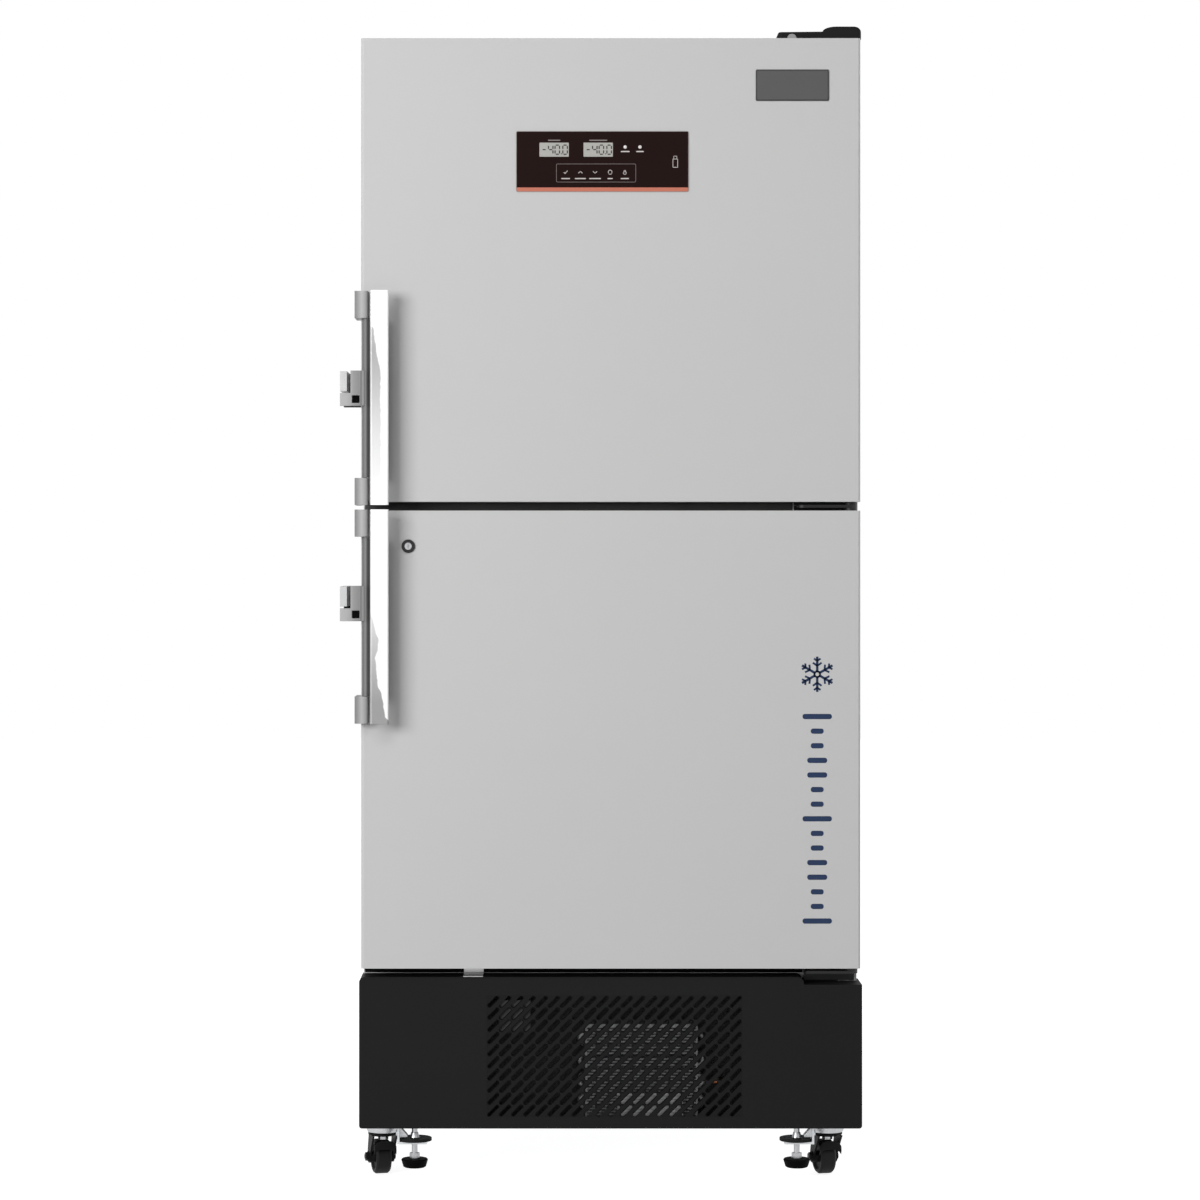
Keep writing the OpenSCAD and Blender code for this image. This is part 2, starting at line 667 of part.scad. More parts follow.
// Crown and two legs, with the axle bolt and its nut
module caster_fork(i) color([0.1, 0.1, 0.1]) turned_caster(i) {
    inner = fork_w / 2 - fork_t;
    difference() {
        union() {
            rotate_extrude() polygon([
                [0, fork_top - crown_t], [crown_r - 6, fork_top - crown_t], [crown_r, fork_top - crown_t / 2],
                [crown_r, fork_top], [0, fork_top]
            ]);
            for (x = [inner, -inner - fork_t]) translate([x, 0, 0]) rotate([90, 0, 90]) linear_extrude(fork_t) {
                polygon([
                    [-leg_top, fork_top - crown_t + 1], [leg_top, fork_top - crown_t + 1],
                    [trail + leg_end_r, wheel_r + 2], [trail, wheel_r], [trail - leg_end_r, wheel_r + 2],
                    [trail - leg_end_r - 5, wheel_r + 14]
                ]);
                translate([trail, wheel_r]) circle(leg_end_r);
            }
        }
        bar_z([0, 0, fork_top - crown_t - cut], king_r + pin_fit, crown_t + 2 * cut);
    }
    bar_x([-fork_w / 2 - 7, trail, wheel_r], axle_r, fork_w + 10);
    bar_x([-fork_w / 2 - 1.5, trail, wheel_r], leg_end_r - 2, 2);
    translate([-fork_w / 2 - 6, trail, wheel_r]) rotate([0, 90, 0]) cylinder(r = axle_r + 3.5, h = 5, $fn = 6);
    bar_x([fork_w / 2 - cut, trail, wheel_r], axle_r + 2.5, 4);
}

module caster_wheel(i) color([0.16, 0.16, 0.16]) turned_caster(i) translate([0, trail, wheel_r])
    rotate([0, 90, 0]) {
        bore = axle_r + pin_fit;
        side = wheel_w / 2;
        hub = fork_w / 2 - fork_t - 0.5;
        rotate_extrude() polygon([
            [bore, -hub], [hub_r, -hub], [hub_r, -side + 4], [wheel_r - 9, -side + 4], [wheel_r - 7, -side],
            [wheel_r - 3, -side], [wheel_r, -side + 3.5], [wheel_r, side - 3.5], [wheel_r - 3, side],
            [wheel_r - 7, side], [wheel_r - 9, side - 4], [hub_r, side - 4], [hub_r, hub], [bore, hub]
        ]);
    }

module caster_fork_front_left() caster_fork(0);
module caster_fork_front_right() caster_fork(1);
module caster_fork_rear_left() caster_fork(2);
module caster_fork_rear_right() caster_fork(3);
module caster_wheel_front_left() caster_wheel(0);
module caster_wheel_front_right() caster_wheel(1);
module caster_wheel_rear_left() caster_wheel(2);
module caster_wheel_rear_right() caster_wheel(3);

// Levelling feet: a gusseted bracket under the tray carries the lock nut, and the stud passes through both
foot_plate_z = tray_low - 29;
foot_plate_t = 4;
bracket_reach = 29;
bracket_d = 20;
gusset_t = 3;
pad_h = 16;
hex_h = 9;
disc_h = 5;
nut_cone_h = 9;
gusset_z = foot_plate_z + foot_plate_t + disc_h + 1.5;
stud_fit = 0.5;
module at_foot(side) translate([side * foot_x - under_left, -foot_y, 0]) children();
module both_feet() for (side = [0, 1]) at_foot(2 * side - 1) mirror([1 - side, 0, 0]) children();

module foot_brackets() color("silver") placed() both_feet() difference() {
    union() {
        block([-22, -bracket_d, foot_plate_z], [bracket_reach, bracket_d, foot_plate_z + foot_plate_t]);
        block([bracket_reach - foot_plate_t, -bracket_d, foot_plate_z], [bracket_reach, bracket_d, tray_low]);
        for (y = [-bracket_d / 2, bracket_d / 2 - gusset_t])
            translate([0, y + gusset_t, 0]) rotate([90, 0, 0]) linear_extrude(gusset_t) polygon([
                [bracket_reach - cut, gusset_z], [bracket_reach - cut, tray_low - 3],
                [bracket_reach - 6, tray_low - 3], [12, gusset_z + 3], [12, gusset_z]
            ]);
        bar_x([bracket_reach - cut, 0, tray_low - 12], stud_r, 4);
    }
    bar_z([0, 0, foot_plate_z - cut], stud_r + stud_fit, foot_plate_t + 2 * cut);
}

module foot_lock_nuts() color([0.1, 0.1, 0.1]) placed() both_feet() difference() {
    union() {
        intersection() {
            bar_z([0, 0, foot_plate_z + foot_plate_t], disc_r, disc_h);
            block([-disc_r, -disc_r, foot_plate_z], [bracket_reach - foot_plate_t - 1, disc_r, tray_low]);
        }
        translate([0, 0, foot_plate_z + foot_plate_t + disc_h - cut])
            cylinder(r1 = stud_r + 3.5, r2 = stud_r + 1.2, h = nut_cone_h + cut);
    }
    bar_z([0, 0, foot_plate_z], stud_r + stud_fit, tray_low);
}

module levelling_foot(side) color("silver") placed() at_foot(side) {
    top = foot_lift + pad_h;
    translate([0, 0, foot_lift]) rotate_extrude() polygon([
        [0, 0], [pad_r - 6, 0], [pad_r - 3.5, 1.5], [pad_r, pad_h - 3], [pad_r - 1.5, pad_h - 1], [0, pad_h]
    ]);
    translate([0, 0, top - cut]) cylinder(r = stud_r + 4, h = hex_h + cut, $fn = 6);
    bar_z([0, 0, top + hex_h - cut], stud_r, tray_top + 15 - top - hex_h);
}
module levelling_foot_left() levelling_foot(-1);
module levelling_foot_right() levelling_foot(1);

// Hinges
plate_front = hinge_y - 14;
washer_r = 12;
module hinge_plate(z) difference() {
    union() {
        block([half - 5 - hinge_w, plate_front + 14, z], [hinge_x + 10, -touch, z + hinge_t]);
        block([half - 5 - hinge_w + 14, plate_front, z], [hinge_x, plate_front + 15, z + hinge_t]);
        for (x = [half - 5 - hinge_w + 14, hinge_x - 4]) bar_z([x, plate_front + 14, z], 14, hinge_t);
    }
    block([half - 5, plate_front - cut, z - cut], [half + 20, cut, z + hinge_t + cut]);
}

module top_hinge() color("silver") placed() {
    hinge_plate(cab_top);
    block([half - 5 - hinge_w, -touch - cut, cab_top], [hinge_x + 10, 60, cab_top + hinge_t]);
    bar_z([hinge_x, hinge_y, upper_door_top - pin_grip], pin_r, cab_top + cut - upper_door_top + pin_grip);
}

// Cover of the top hinge: a low tongue on the left and a raised shell over the plate, with curved shoulders
cover_front = plate_front - 6;
cover_back = 66;
cover_wall = 2;
cover_high = 18.5;
cover_low_h = 9;
cover_drop = door_top_gap - 1;
cover_left = half - 140;
cover_step = half - 64;
cover_right = half + 2.5;
function shoulder(x, z, rx, rz, from, to) =
    [for (i = [0 : 6]) let (a = from + (to - from) * i / 6) [x + rx * cos(a), z + rz * sin(a)]];
module cover_profile(inset) polygon(concat(
    [[cover_left + inset, -cut - cover_drop]],
    shoulder(cover_left + inset + 4, cover_low_h - inset - 4, 4, 4, 170, 90),
    shoulder(cover_step + inset + 24, cover_low_h - inset, 24, cover_high - cover_low_h, 175, 90),
    shoulder(cover_right - inset - 13, cover_high - inset - 10, 13, 10, 90, 5),
    [[cover_right - inset, -cut - cover_drop]]
));
module cover_plan(inset) {
    r = 8;
    x0 = cover_left + inset;
    x1 = cover_right - inset;
    translate([x0, cover_front + r]) square([x1 - x0, cover_back - inset - cover_front - r]);
    translate([x0 + r, cover_front + inset]) square([x1 - x0 - 2 * r, 2 * r]);
    for (x = [x0 + r, x1 - r]) translate([x, cover_front + inset + r]) circle(r);
}
module cover_solid(inset) intersection() {
    translate([0, cover_back - inset, 0]) rotate([90, 0, 0])
        linear_extrude(cover_back - cover_front - 2 * inset) cover_profile(inset);
    translate([0, 0, -2 * cut - cover_drop]) linear_extrude(cover_high + 4 * cut + cover_drop) cover_plan(inset);
}
module top_hinge_cover() color([0.16, 0.16, 0.16]) placed() translate([0, 0, cab_top]) difference() {
    cover_solid(0);
    cover_solid(cover_wall);
    block([cover_left - cut, cover_front - cut, -2 * cut - cover_drop - cut],
        [cover_right + cut, -touch, -cover_drop]);
    block([cover_left - cut, -2 * touch, -2 * cut - cover_drop - cut], [cover_right + cut, cover_back + cut, 0]);
}

module pin_pair(z_low, z_high) bar_z([hinge_x, hinge_y, z_low], pin_r, z_high - z_low);

module middle_hinge() color([0.12, 0.12, 0.12]) placed() {
    z = mid_z - hinge_t / 2;
    hinge_plate(z);
    block([half - 5 - hinge_w, -leg_t, mid_z - 18], [hinge_x + 10, 0, mid_z + 18]);
    pin_pair(lower_door_top - pin_grip, upper_door_low + pin_grip);
    bar_z([hinge_x, hinge_y, lower_door_top + touch], washer_r, door_split - 2 * touch);
}

module bottom_hinge() color([0.12, 0.12, 0.12]) placed() {
    z = lower_door_low - hinge_t - 6;
    intersection() {
        hinge_plate(z);
        block([half - pocket_w + 3, plate_front, z], [half, 0, z + hinge_t]);
    }
    block([half - pocket_w + 3, -leg_t, panel_high - pocket_h + 1], [hinge_x + 10, 0, lower_door_low + 10]);
    pin_pair(z, lower_door_low + pin_grip);
    bar_z([hinge_x, hinge_y, z], washer_r, lower_door_low - touch - z);
}

// Keepers on the cabinet's left side, whose noses stand in the notches of the latch arms
module keeper(arm_low) {
    z0 = arm_low + nose_low;
    z1 = z0 + nose_h;
    block([-half - 3, 8, z0 - 18], [-half, 68, z1 + 18]);
    block([arm_left, 8, arm_low + 2], [-half - 3 + cut, 30, z1]);
    block([arm_left, rod_y - 1, z0], [arm_left + nose_w, 30, z1]);
    for (z = [z0 - 9, z1 + 9]) translate([-half - 3, 48, z]) rotate([0, -90, 0]) cylinder(r = 5, h = 2.5);
}
module latch_keepers() color("silver") placed() {
    keeper(upper_arm_low);
    keeper(lower_arm_low);
}

// Spring clip that holds the base panel's top edge
module front_panel_clip() color("whitesmoke") placed() {
    x = -half + 173;
    block([x, panel_y + 3, panel_high], [x + 34, -touch, panel_high + 1.5]);
    block([x, -2 * touch - cut, panel_high], [x + 34, -touch, body_low + 3]);
}

// Doors
module door_skin(low, high) difference() {
    translate([0, 0, low]) linear_extrude(high - low) door_plan(0, door_back);
    translate([0, 0, low - cut]) linear_extrude(high - low + 2 * cut) door_plan(skin_t, door_back + cut);
}

module door_foam(low, high, plug_low, plug_high) {
    pan = liner_t + touch;
    translate([0, 0, low + cap_t]) linear_extrude(high - low - 2 * cap_t) door_plan(skin_t, door_back - liner_t);
    block([-cav_half + plug_clear + pan, door_back - liner_t + touch, plug_low + pan],
        [cav_half - plug_clear - pan, plug_reach - pan, plug_high - pan]);
}

module door_liner(low, high, plug_low, plug_high) difference() {
    union() {
        block([-half + skin_t + touch, door_back - liner_t, low], [half - skin_t - touch, door_back, high]);
        block([-cav_half + plug_clear, door_back - liner_t, plug_low], [cav_half - plug_clear, plug_reach, plug_high]);
    }
    block([-cav_half + plug_clear + liner_t, door_back - liner_t - cut, plug_low + liner_t],
        [cav_half - plug_clear - liner_t, plug_reach - liner_t, plug_high - liner_t]);
}

module door_gasket(low, high) {
    x1 = half - gasket_in;
    x0 = x1 - gasket_w;
    difference() {
        block([-x1, door_back, low + gasket_end], [x1, -1.5 * touch, high - gasket_end]);
        block([-x0, door_back - cut, low + gasket_end + gasket_w], [x0, cut, high - gasket_end - gasket_w]);
    }
}

// End caps, bored for the hinge pins
module door_caps(low, high) for (z = [low, high - cap_t]) difference() {
    translate([0, 0, z]) linear_extrude(cap_t) door_plan(skin_t, door_back - liner_t);
    bar_z([hinge_x, hinge_y, z - cut], pin_r + pin_fit, cap_t + 2 * cut);
}

module upper_door_skin() color([0.8, 0.8, 0.8]) placed() door_skin(upper_door_low, upper_door_top);
module upper_door_foam() color("khaki") placed()
    door_foam(upper_door_low, upper_door_top, upper_low + plug_clear, upper_top - plug_clear);
module upper_door_liner() color("whitesmoke") placed()
    door_liner(upper_door_low, upper_door_top, upper_low + plug_clear, upper_top - plug_clear);
module upper_door_gasket() color("dimgray") placed() door_gasket(upper_door_low, upper_door_top);
module upper_door_caps() color("gainsboro") placed() door_caps(upper_door_low, upper_door_top);

module lower_door_skin() color([0.8, 0.8, 0.8]) placed() difference() {
    door_skin(lower_door_low, lower_door_top);
    lock_pocket();
}
module lower_door_foam() color("khaki") placed() difference() {
    door_foam(lower_door_low, lower_door_top, lower_low + plug_clear, lower_top - plug_clear);
    lock_pocket();
}
module lower_door_liner() color("whitesmoke") placed()
    door_liner(lower_door_low, lower_door_top, lower_low + plug_clear, lower_top - plug_clear);
module lower_door_gasket() color("dimgray") placed() door_gasket(lower_door_low, lower_door_top);
module lower_door_caps() color("gainsboro") placed() door_caps(lower_door_low, lower_door_top);

// Cam lock in the lower door
lock_x = -half + lock_in;
lock_z = lower_door_top - lock_down;
lock_body_r = lock_r - 2;
lock_deep = 24;
rim_t = 3;
module lock_pocket() bar_y([lock_x, door_front - cut, lock_z], lock_body_r, lock_deep + cut);

module lock_barrel() color("silver") placed() difference() {
    union() {
        bar_y([lock_x, door_front - rim_t, lock_z], lock_r, rim_t);
        bar_y([lock_x, door_front - cut, lock_z], lock_body_r, lock_deep + cut);
    }
    bar_y([lock_x, door_front - rim_t - cut, lock_z], lock_plug_r + pin_fit, lock_deep + cut);
}

module lock_plug() color("silver") placed() difference() {
    bar_y([lock_x, door_front - rim_t - 0.6, lock_z], lock_plug_r, lock_deep - touch);
    block([lock_x - 0.9, door_front - rim_t - cut, lock_z - 4], [lock_x + 0.9, door_front + 6, lock_z + 4]);
}

// Handle brackets: a block on the door's front that holds the rod, and a leg round the door's side
module handle_bracket(low) difference() {
    union() {
        block([-half - bracket_leg, rod_y - 12, low], [rod_x + rod_r + bracket_wall, door_front, low + bracket_h]);
        block([-half - bracket_leg, door_front - cut, low], [-half, door_front + 42, low + bracket_h]);
    }
    bar_z([rod_x, rod_y, low - cut], rod_r + pin_fit, bracket_h + 2 * cut);
}
module handle_brackets(low) for (z = [low, low + handle_len - bracket_h]) handle_bracket(z);

module upper_handle_brackets() color("silver") placed() handle_brackets(upper_handle_low);
module lower_handle_brackets() color("silver") placed() handle_brackets(lower_handle_low);

// Grip: the rod, a full-length plate in front of it and a web between the brackets
module handle_grip(low, arm_low) {
    run = [grip_side + grip_t / 2, -grip_fwd - grip_t / 2];
    bar_z([rod_x, rod_y, low], rod_r, handle_len);
    translate([rod_x + grip_side, grip_front, low]) grip_plate();
    difference() {
        translate([rod_x, rod_y, low + bracket_h + 1]) linear_extrude(handle_len - 2 * bracket_h - 2)
            rotate(atan2(run[1], run[0])) translate([0, -web_t / 2]) square([norm(run), web_t]);
        bar_z([rod_x, rod_y, arm_low], collar_r, arm_h);
    }
}
module grip_plate() linear_extrude(handle_len) {
    r = grip_t / 2;
    translate([r, 0]) square([grip_w - 2 * r, grip_t]);
    for (x = [r, grip_w - r]) translate([x, r]) circle(r);
}
module upper_handle_grip() color("silver") placed() handle_grip(upper_handle_low, upper_arm_low);
module lower_handle_grip() color("silver") placed() handle_grip(lower_handle_low, lower_arm_low);

// Latch arm: a collar on the rod and an L-shaped plate with a square padlock hole
module latch_arm(low) difference() {
    union() {
        bar_z([rod_x, rod_y, low], collar_r, arm_h);
        block([arm_left, rod_y - arm_t / 2, low], [rod_x, rod_y + arm_t / 2, low + arm_low_h]);
        block([arm_left + nose_w + nose_gap, rod_y - arm_t / 2, low], [rod_x, rod_y + arm_t / 2, low + arm_h]);
    }
    bar_z([rod_x, rod_y, low - cut], rod_r, arm_h + 2 * cut);
    block([rod_x - collar_r - 0.5 - padlock, rod_y - collar_r - cut, low + (arm_low_h - padlock) / 2 + 0.5],
        [rod_x - collar_r - 0.5, rod_y + collar_r + cut, low + (arm_low_h + padlock) / 2 + 0.5]);
}
module upper_latch_arm() color("silver") placed() latch_arm(upper_arm_low);
module lower_latch_arm() color("silver") placed() latch_arm(lower_arm_low);

// Control panel, its two display windows and the bare plate
module control_overlay() color([0.14, 0.09, 0.09]) placed() translate([-panel_left, 0, upper_door_low + panel_up])
    block([-panel_w / 2, door_front - panel_t, 0], [panel_w / 2, door_front, panel_h]);

module lcd_windows() color("lightgray") placed() translate([-panel_left, 0, upper_door_low + panel_up])
    for (i = [0, 1]) translate([-panel_w / 2 + 65 + i * lcd_pitch, 0, panel_h - 29.8])
        block([-lcd_w / 2, door_front - panel_t - 0.6, -lcd_h / 2], [lcd_w / 2, door_front - panel_t, lcd_h / 2]);

module badge_plate() color([0.39, 0.39, 0.39]) placed()
    block([half - badge_right - badge_w, door_front - 2, upper_door_top - badge_down - badge_h],
        [half - badge_right, door_front, upper_door_top - badge_down]);

cabinet_insulation();
outer_shell();
back_panel();
front_frame();
upper_liner();
lower_liner();
upper_shelves();
lower_shelves();
evaporator_tubes();
base_tray();
base_side_panels();
base_front_panel();
vent_grille();
rear_vent_cover();
compressor();
condenser();
fan_shroud();
fan_blade();
refrigerant_pipes();
electrical_box();
caster_plates();
foot_brackets();
foot_lock_nuts();
top_hinge();
top_hinge_cover();
middle_hinge();
bottom_hinge();
latch_keepers();
front_panel_clip();
caster_fork_front_left();
caster_fork_front_right();
caster_fork_rear_left();
caster_fork_rear_right();
caster_wheel_front_left();
caster_wheel_front_right();
caster_wheel_rear_left();
caster_wheel_rear_right();
levelling_foot_left();
levelling_foot_right();
upper_door_skin();
upper_door_foam();
upper_door_liner();
upper_door_gasket();
upper_door_caps();
upper_handle_brackets();
control_overlay();
lcd_windows();
badge_plate();
upper_handle_grip();
upper_latch_arm();
lower_door_skin();
lower_door_foam();
lower_door_liner();
lower_door_gasket();
lower_door_caps();
lower_handle_brackets();
lock_barrel();
lock_plug();
lower_handle_grip();
lower_latch_arm();
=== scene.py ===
"""Looks of the upright two-door freezer: finishes, printed panel, fittings and a plain studio."""
import json
import math

import bmesh
import bpy
from mathutils import Matrix, Vector

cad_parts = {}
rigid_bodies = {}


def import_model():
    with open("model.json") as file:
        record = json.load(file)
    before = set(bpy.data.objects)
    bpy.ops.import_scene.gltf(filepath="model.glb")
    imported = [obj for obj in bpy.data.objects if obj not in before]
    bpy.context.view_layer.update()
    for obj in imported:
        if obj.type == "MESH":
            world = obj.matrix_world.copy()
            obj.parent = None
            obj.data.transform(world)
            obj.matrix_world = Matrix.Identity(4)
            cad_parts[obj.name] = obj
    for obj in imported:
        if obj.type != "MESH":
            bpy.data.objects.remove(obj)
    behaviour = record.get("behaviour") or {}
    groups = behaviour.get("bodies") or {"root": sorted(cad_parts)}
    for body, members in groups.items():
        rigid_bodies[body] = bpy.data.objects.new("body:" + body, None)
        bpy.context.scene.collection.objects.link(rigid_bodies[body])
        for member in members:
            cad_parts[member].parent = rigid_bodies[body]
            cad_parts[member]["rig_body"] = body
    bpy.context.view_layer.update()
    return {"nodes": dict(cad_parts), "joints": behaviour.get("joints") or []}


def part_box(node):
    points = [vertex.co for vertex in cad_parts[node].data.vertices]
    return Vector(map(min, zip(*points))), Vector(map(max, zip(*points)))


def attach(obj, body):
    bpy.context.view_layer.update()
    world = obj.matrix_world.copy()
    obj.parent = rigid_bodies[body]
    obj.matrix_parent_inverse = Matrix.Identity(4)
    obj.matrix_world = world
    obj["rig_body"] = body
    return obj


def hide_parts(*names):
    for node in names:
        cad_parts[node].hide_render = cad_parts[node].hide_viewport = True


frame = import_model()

MM = 0.001

# Cabinet frame: X from the cabinet's middle, Y from its front face, Z from the floor, all in mm
FRAME_LOW, FRAME_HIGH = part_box("front_frame")
MID_X = (FRAME_LOW.x + FRAME_HIGH.x) / 2
FACE_Y = FRAME_LOW.y


def at(x, y, z):
    """A point given in the cabinet's own millimetres, in metres of the shared frame."""
    return Vector((MID_X + x * MM, FACE_Y + y * MM, z * MM))


def local_box(node):
    """A node's box in the cabinet's own millimetres."""
    lo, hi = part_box(node)
    origin = Vector((MID_X, FACE_Y, 0))
    return (lo - origin) / MM, (hi - origin) / MM


UPPER_LO = local_box("upper_door_skin")[0]
LOWER_LO, LOWER_HI = local_box("lower_door_skin")
SHELL_LEFT = local_box("outer_shell")[0].x
DOOR_FRONT = UPPER_LO.y
DOORS = ("upper", "lower")
CASTER_PLACES = ("front_left", "front_right", "rear_left", "rear_right")


# Camera: straight along +Y, 6 m in front of the doors, a little left of the middle
CAMERA_DISTANCE = 6000
CAMERA_X = -86.4
CAMERA_Z = 1080
PHOTO_SIDE = 1200
PHOTO_CENTRE = (560, 552)
DOOR_MM_PER_PIXEL = 1.7017
SENSOR = 36


def make_camera():
    data = bpy.data.cameras.new("camera")
    data.sensor_width = SENSOR
    data.lens = SENSOR * CAMERA_DISTANCE / (PHOTO_SIDE * DOOR_MM_PER_PIXEL)
    data.shift_x = (PHOTO_SIDE / 2 - PHOTO_CENTRE[0]) / PHOTO_SIDE
    data.shift_y = (PHOTO_CENTRE[1] - PHOTO_SIDE / 2) / PHOTO_SIDE
    data.clip_end = 60
    camera = bpy.data.objects.new("camera", data)
    camera.location = at(CAMERA_X, DOOR_FRONT - CAMERA_DISTANCE, CAMERA_Z)
    camera.rotation_euler = (math.radians(90), 0, 0)
    bpy.context.scene.collection.objects.link(camera)
    bpy.context.scene.camera = camera


# Materials
NOISE_MIDDLE = (0.3, 0.7)
GRAIN_DEPTH = 0.0002
ROUGH_VARY = 0.12


def srgb(r, g, b):
    """Linear colour from an sRGB colour of 0 to 255."""
    def linear(c):
        c /= 255
        return c / 12.92 if c <= 0.04045 else ((c + 0.055) / 1.055) ** 2.4

    return (linear(r), linear(g), linear(b))


def principled(name):
    material = bpy.data.materials.new(name)
    material.use_nodes = True
    return material, material.node_tree.nodes["Principled BSDF"]


def noise(tree, scale, stretch=(1, 1, 1), detail=3):
    coord = tree.nodes.new("ShaderNodeTexCoord")
    mapping = tree.nodes.new("ShaderNodeMapping")
    mapping.inputs["Scale"].default_value = stretch
    texture = tree.nodes.new("ShaderNodeTexNoise")
    texture.inputs["Scale"].default_value = scale
    texture.inputs["Detail"].default_value = detail
    tree.links.new(coord.outputs["Object"], mapping.inputs["Vector"])
    tree.links.new(mapping.outputs["Vector"], texture.inputs["Vector"])
    return texture.outputs["Fac"]


def spread(tree, value, low, high):
    """Maps the middle of a noise onto a range."""
    node = tree.nodes.new("ShaderNodeMapRange")
    node.inputs["From Min"].default_value, node.inputs["From Max"].default_value = NOISE_MIDDLE
    node.inputs["To Min"].default_value = low
    node.inputs["To Max"].default_value = high
    tree.links.new(value, node.inputs["Value"])
    return node.outputs["Result"]


def mixed(tree, a, b, factor):
    """A blend of two colours, each a socket or a plain colour."""
    mix = tree.nodes.new("ShaderNodeMix")
    mix.data_type = "RGBA"
    for key, value in (("A", a), ("B", b)):
        if isinstance(value, tuple):
            mix.inputs[key].default_value = (*value, 1)
        else:
            tree.links.new(value, mix.inputs[key])
    tree.links.new(factor, mix.inputs["Factor"])
    return mix.outputs["Result"]


def grained(name, rough, metal, grain=900, bump=0.05, stretch=(1, 1, 1), specular=0.5):
    """A surface with uneven roughness and a fine grain, and the socket that takes its colour."""
    material, shader = principled(name)
    tree = material.node_tree
    fine = noise(tree, grain, stretch)
    uneven = spread(tree, fine, rough * (1 - ROUGH_VARY), min(1, rough * (1 + ROUGH_VARY)))
    tree.links.new(uneven, shader.inputs["Roughness"])
    bumper = tree.nodes.new("ShaderNodeBump")
    bumper.inputs["Strength"].default_value = bump
    bumper.inputs["Distance"].default_value = GRAIN_DEPTH
    tree.links.new(fine, bumper.inputs["Height"])
    tree.links.new(bumper.outputs["Normal"], shader.inputs["Normal"])
    shader.inputs["Metallic"].default_value = metal
    shader.inputs["Specular IOR Level"].default_value = specular
    return material, tree, shader.inputs["Base Color"]


def finish_of(name, colour, rough, metal=0.0, *, vary, patches=6, **details):
    """A grained surface with slow colour changes in patches."""
    material, tree, base = grained(name, rough, metal, **details)
    dark = tuple(c * (1 - vary) for c in colour)
    pale = tuple(min(1, c * (1 + vary)) for c in colour)
    slow = spread(tree, noise(tree, patches, detail=4), 0, 1)
    tree.links.new(mixed(tree, dark, pale, slow), base)
    return material


WHITE_PAINT = finish_of("white_paint", srgb(200, 200, 200), 0.5, vary=0.006, grain=420, bump=0.06, patches=2,
                        specular=0.25)
SIDE_PAINT = finish_of("side_paint", srgb(200, 200, 200), 0.5, vary=0.012, grain=420, bump=0.06, patches=2,
                       specular=0.25)
WHITE_PLASTIC = finish_of("white_plastic", srgb(222, 222, 220), 0.34, vary=0.01, grain=260, bump=0.03)
BLACK_PLASTIC = finish_of("black_plastic", srgb(27, 27, 27), 0.6, vary=0.05, grain=1500, bump=0.12,
                          specular=0.08)
GRILLE_PLASTIC = finish_of("grille_plastic", srgb(23, 23, 23), 0.55, vary=0.05, grain=1500, bump=0.12,
                           specular=0.08)
BLACK_PAINT = finish_of("black_paint", srgb(20, 20, 20), 0.45, vary=0.1, grain=700, bump=0.1, specular=0.3)
FORK_BLACK = finish_of("fork_black", srgb(10, 10, 10), 0.5, vary=0.1, grain=700, bump=0.1, specular=0.12)
FOOT_BLACK = finish_of("foot_black", srgb(7, 7, 7), 0.6, vary=0.1, grain=900, bump=0.1, specular=0.03)
WHEEL_BLACK = finish_of("wheel_black", srgb(6, 6, 6), 0.6, vary=0.15, grain=500, bump=0.12, patches=60,
                        specular=0.2)
GALVANISED = finish_of("galvanised", srgb(190, 192, 194), 0.38, 0.9, vary=0.1, grain=140, bump=0.05,
                       patches=45)
STAINLESS = finish_of("stainless", srgb(200, 200, 200), 0.3, 1.0, vary=0.05, grain=240,
                      stretch=(1, 1, 12), bump=0.08)
TAB_GREY = finish_of("tab_grey", srgb(150, 150, 151), 0.45, 0.2, vary=0.05, specular=0.2)
CAST_GREY = finish_of("cast_grey", srgb(186, 186, 187), 0.45, 0.3, vary=0.06, grain=900, bump=0.14,
                      patches=30)
ALUMINIUM = finish_of("aluminium", srgb(160, 161, 162), 0.4, 0.7, vary=0.08, grain=200, bump=0.05, patches=40)
RUBBER = finish_of("rubber", srgb(64, 64, 65), 0.7, vary=0.08, grain=700, bump=0.1, specular=0.3)
FOAM = finish_of("foam", srgb(222, 205, 150), 0.9, vary=0.06, grain=300, bump=0.5)
COPPER = finish_of("copper", srgb(170, 108, 78), 0.35, 1.0, vary=0.14, grain=90, bump=0.04, patches=30)
ENAMEL = finish_of("enamel", srgb(22, 22, 23), 0.3, vary=0.1, grain=120, bump=0.06, specular=0.4)
OVERLAY = finish_of("overlay", srgb(34, 21, 20), 0.35, vary=0.03, grain=600, bump=0.02, specular=0.03)
OVERLAY_EDGE = finish_of("overlay_edge", srgb(150, 142, 140), 0.45, vary=0.03, specular=0.3)
ORANGE_PRINT = finish_of("orange_print", srgb(198, 119, 98), 0.45, vary=0.02, grain=600, bump=0.02,
                         specular=0.2)
PALE_PRINT = finish_of("pale_print", srgb(205, 199, 197), 0.5, vary=0.03, specular=0.2)
DIM_PRINT = finish_of("dim_print", srgb(132, 124, 122), 0.5, vary=0.03, specular=0.2)
LCD_GREY = finish_of("lcd_grey", srgb(178, 177, 172), 0.3, vary=0.03, grain=500, bump=0.02, specular=0.3)
LCD_INK = finish_of("lcd_ink", srgb(58, 56, 56), 0.5, vary=0.04, specular=0.1)
LED_BODY = finish_of("led_body", srgb(228, 224, 222), 0.25, vary=0.03)
NAVY_PRINT = finish_of("navy_print", srgb(36, 52, 82), 0.45, vary=0.05, grain=500, bump=0.03, specular=0.2)
BADGE_FACE = finish_of("badge_face", srgb(89, 89, 89), 0.4, vary=0.03, grain=700, bump=0.05, specular=0.2)
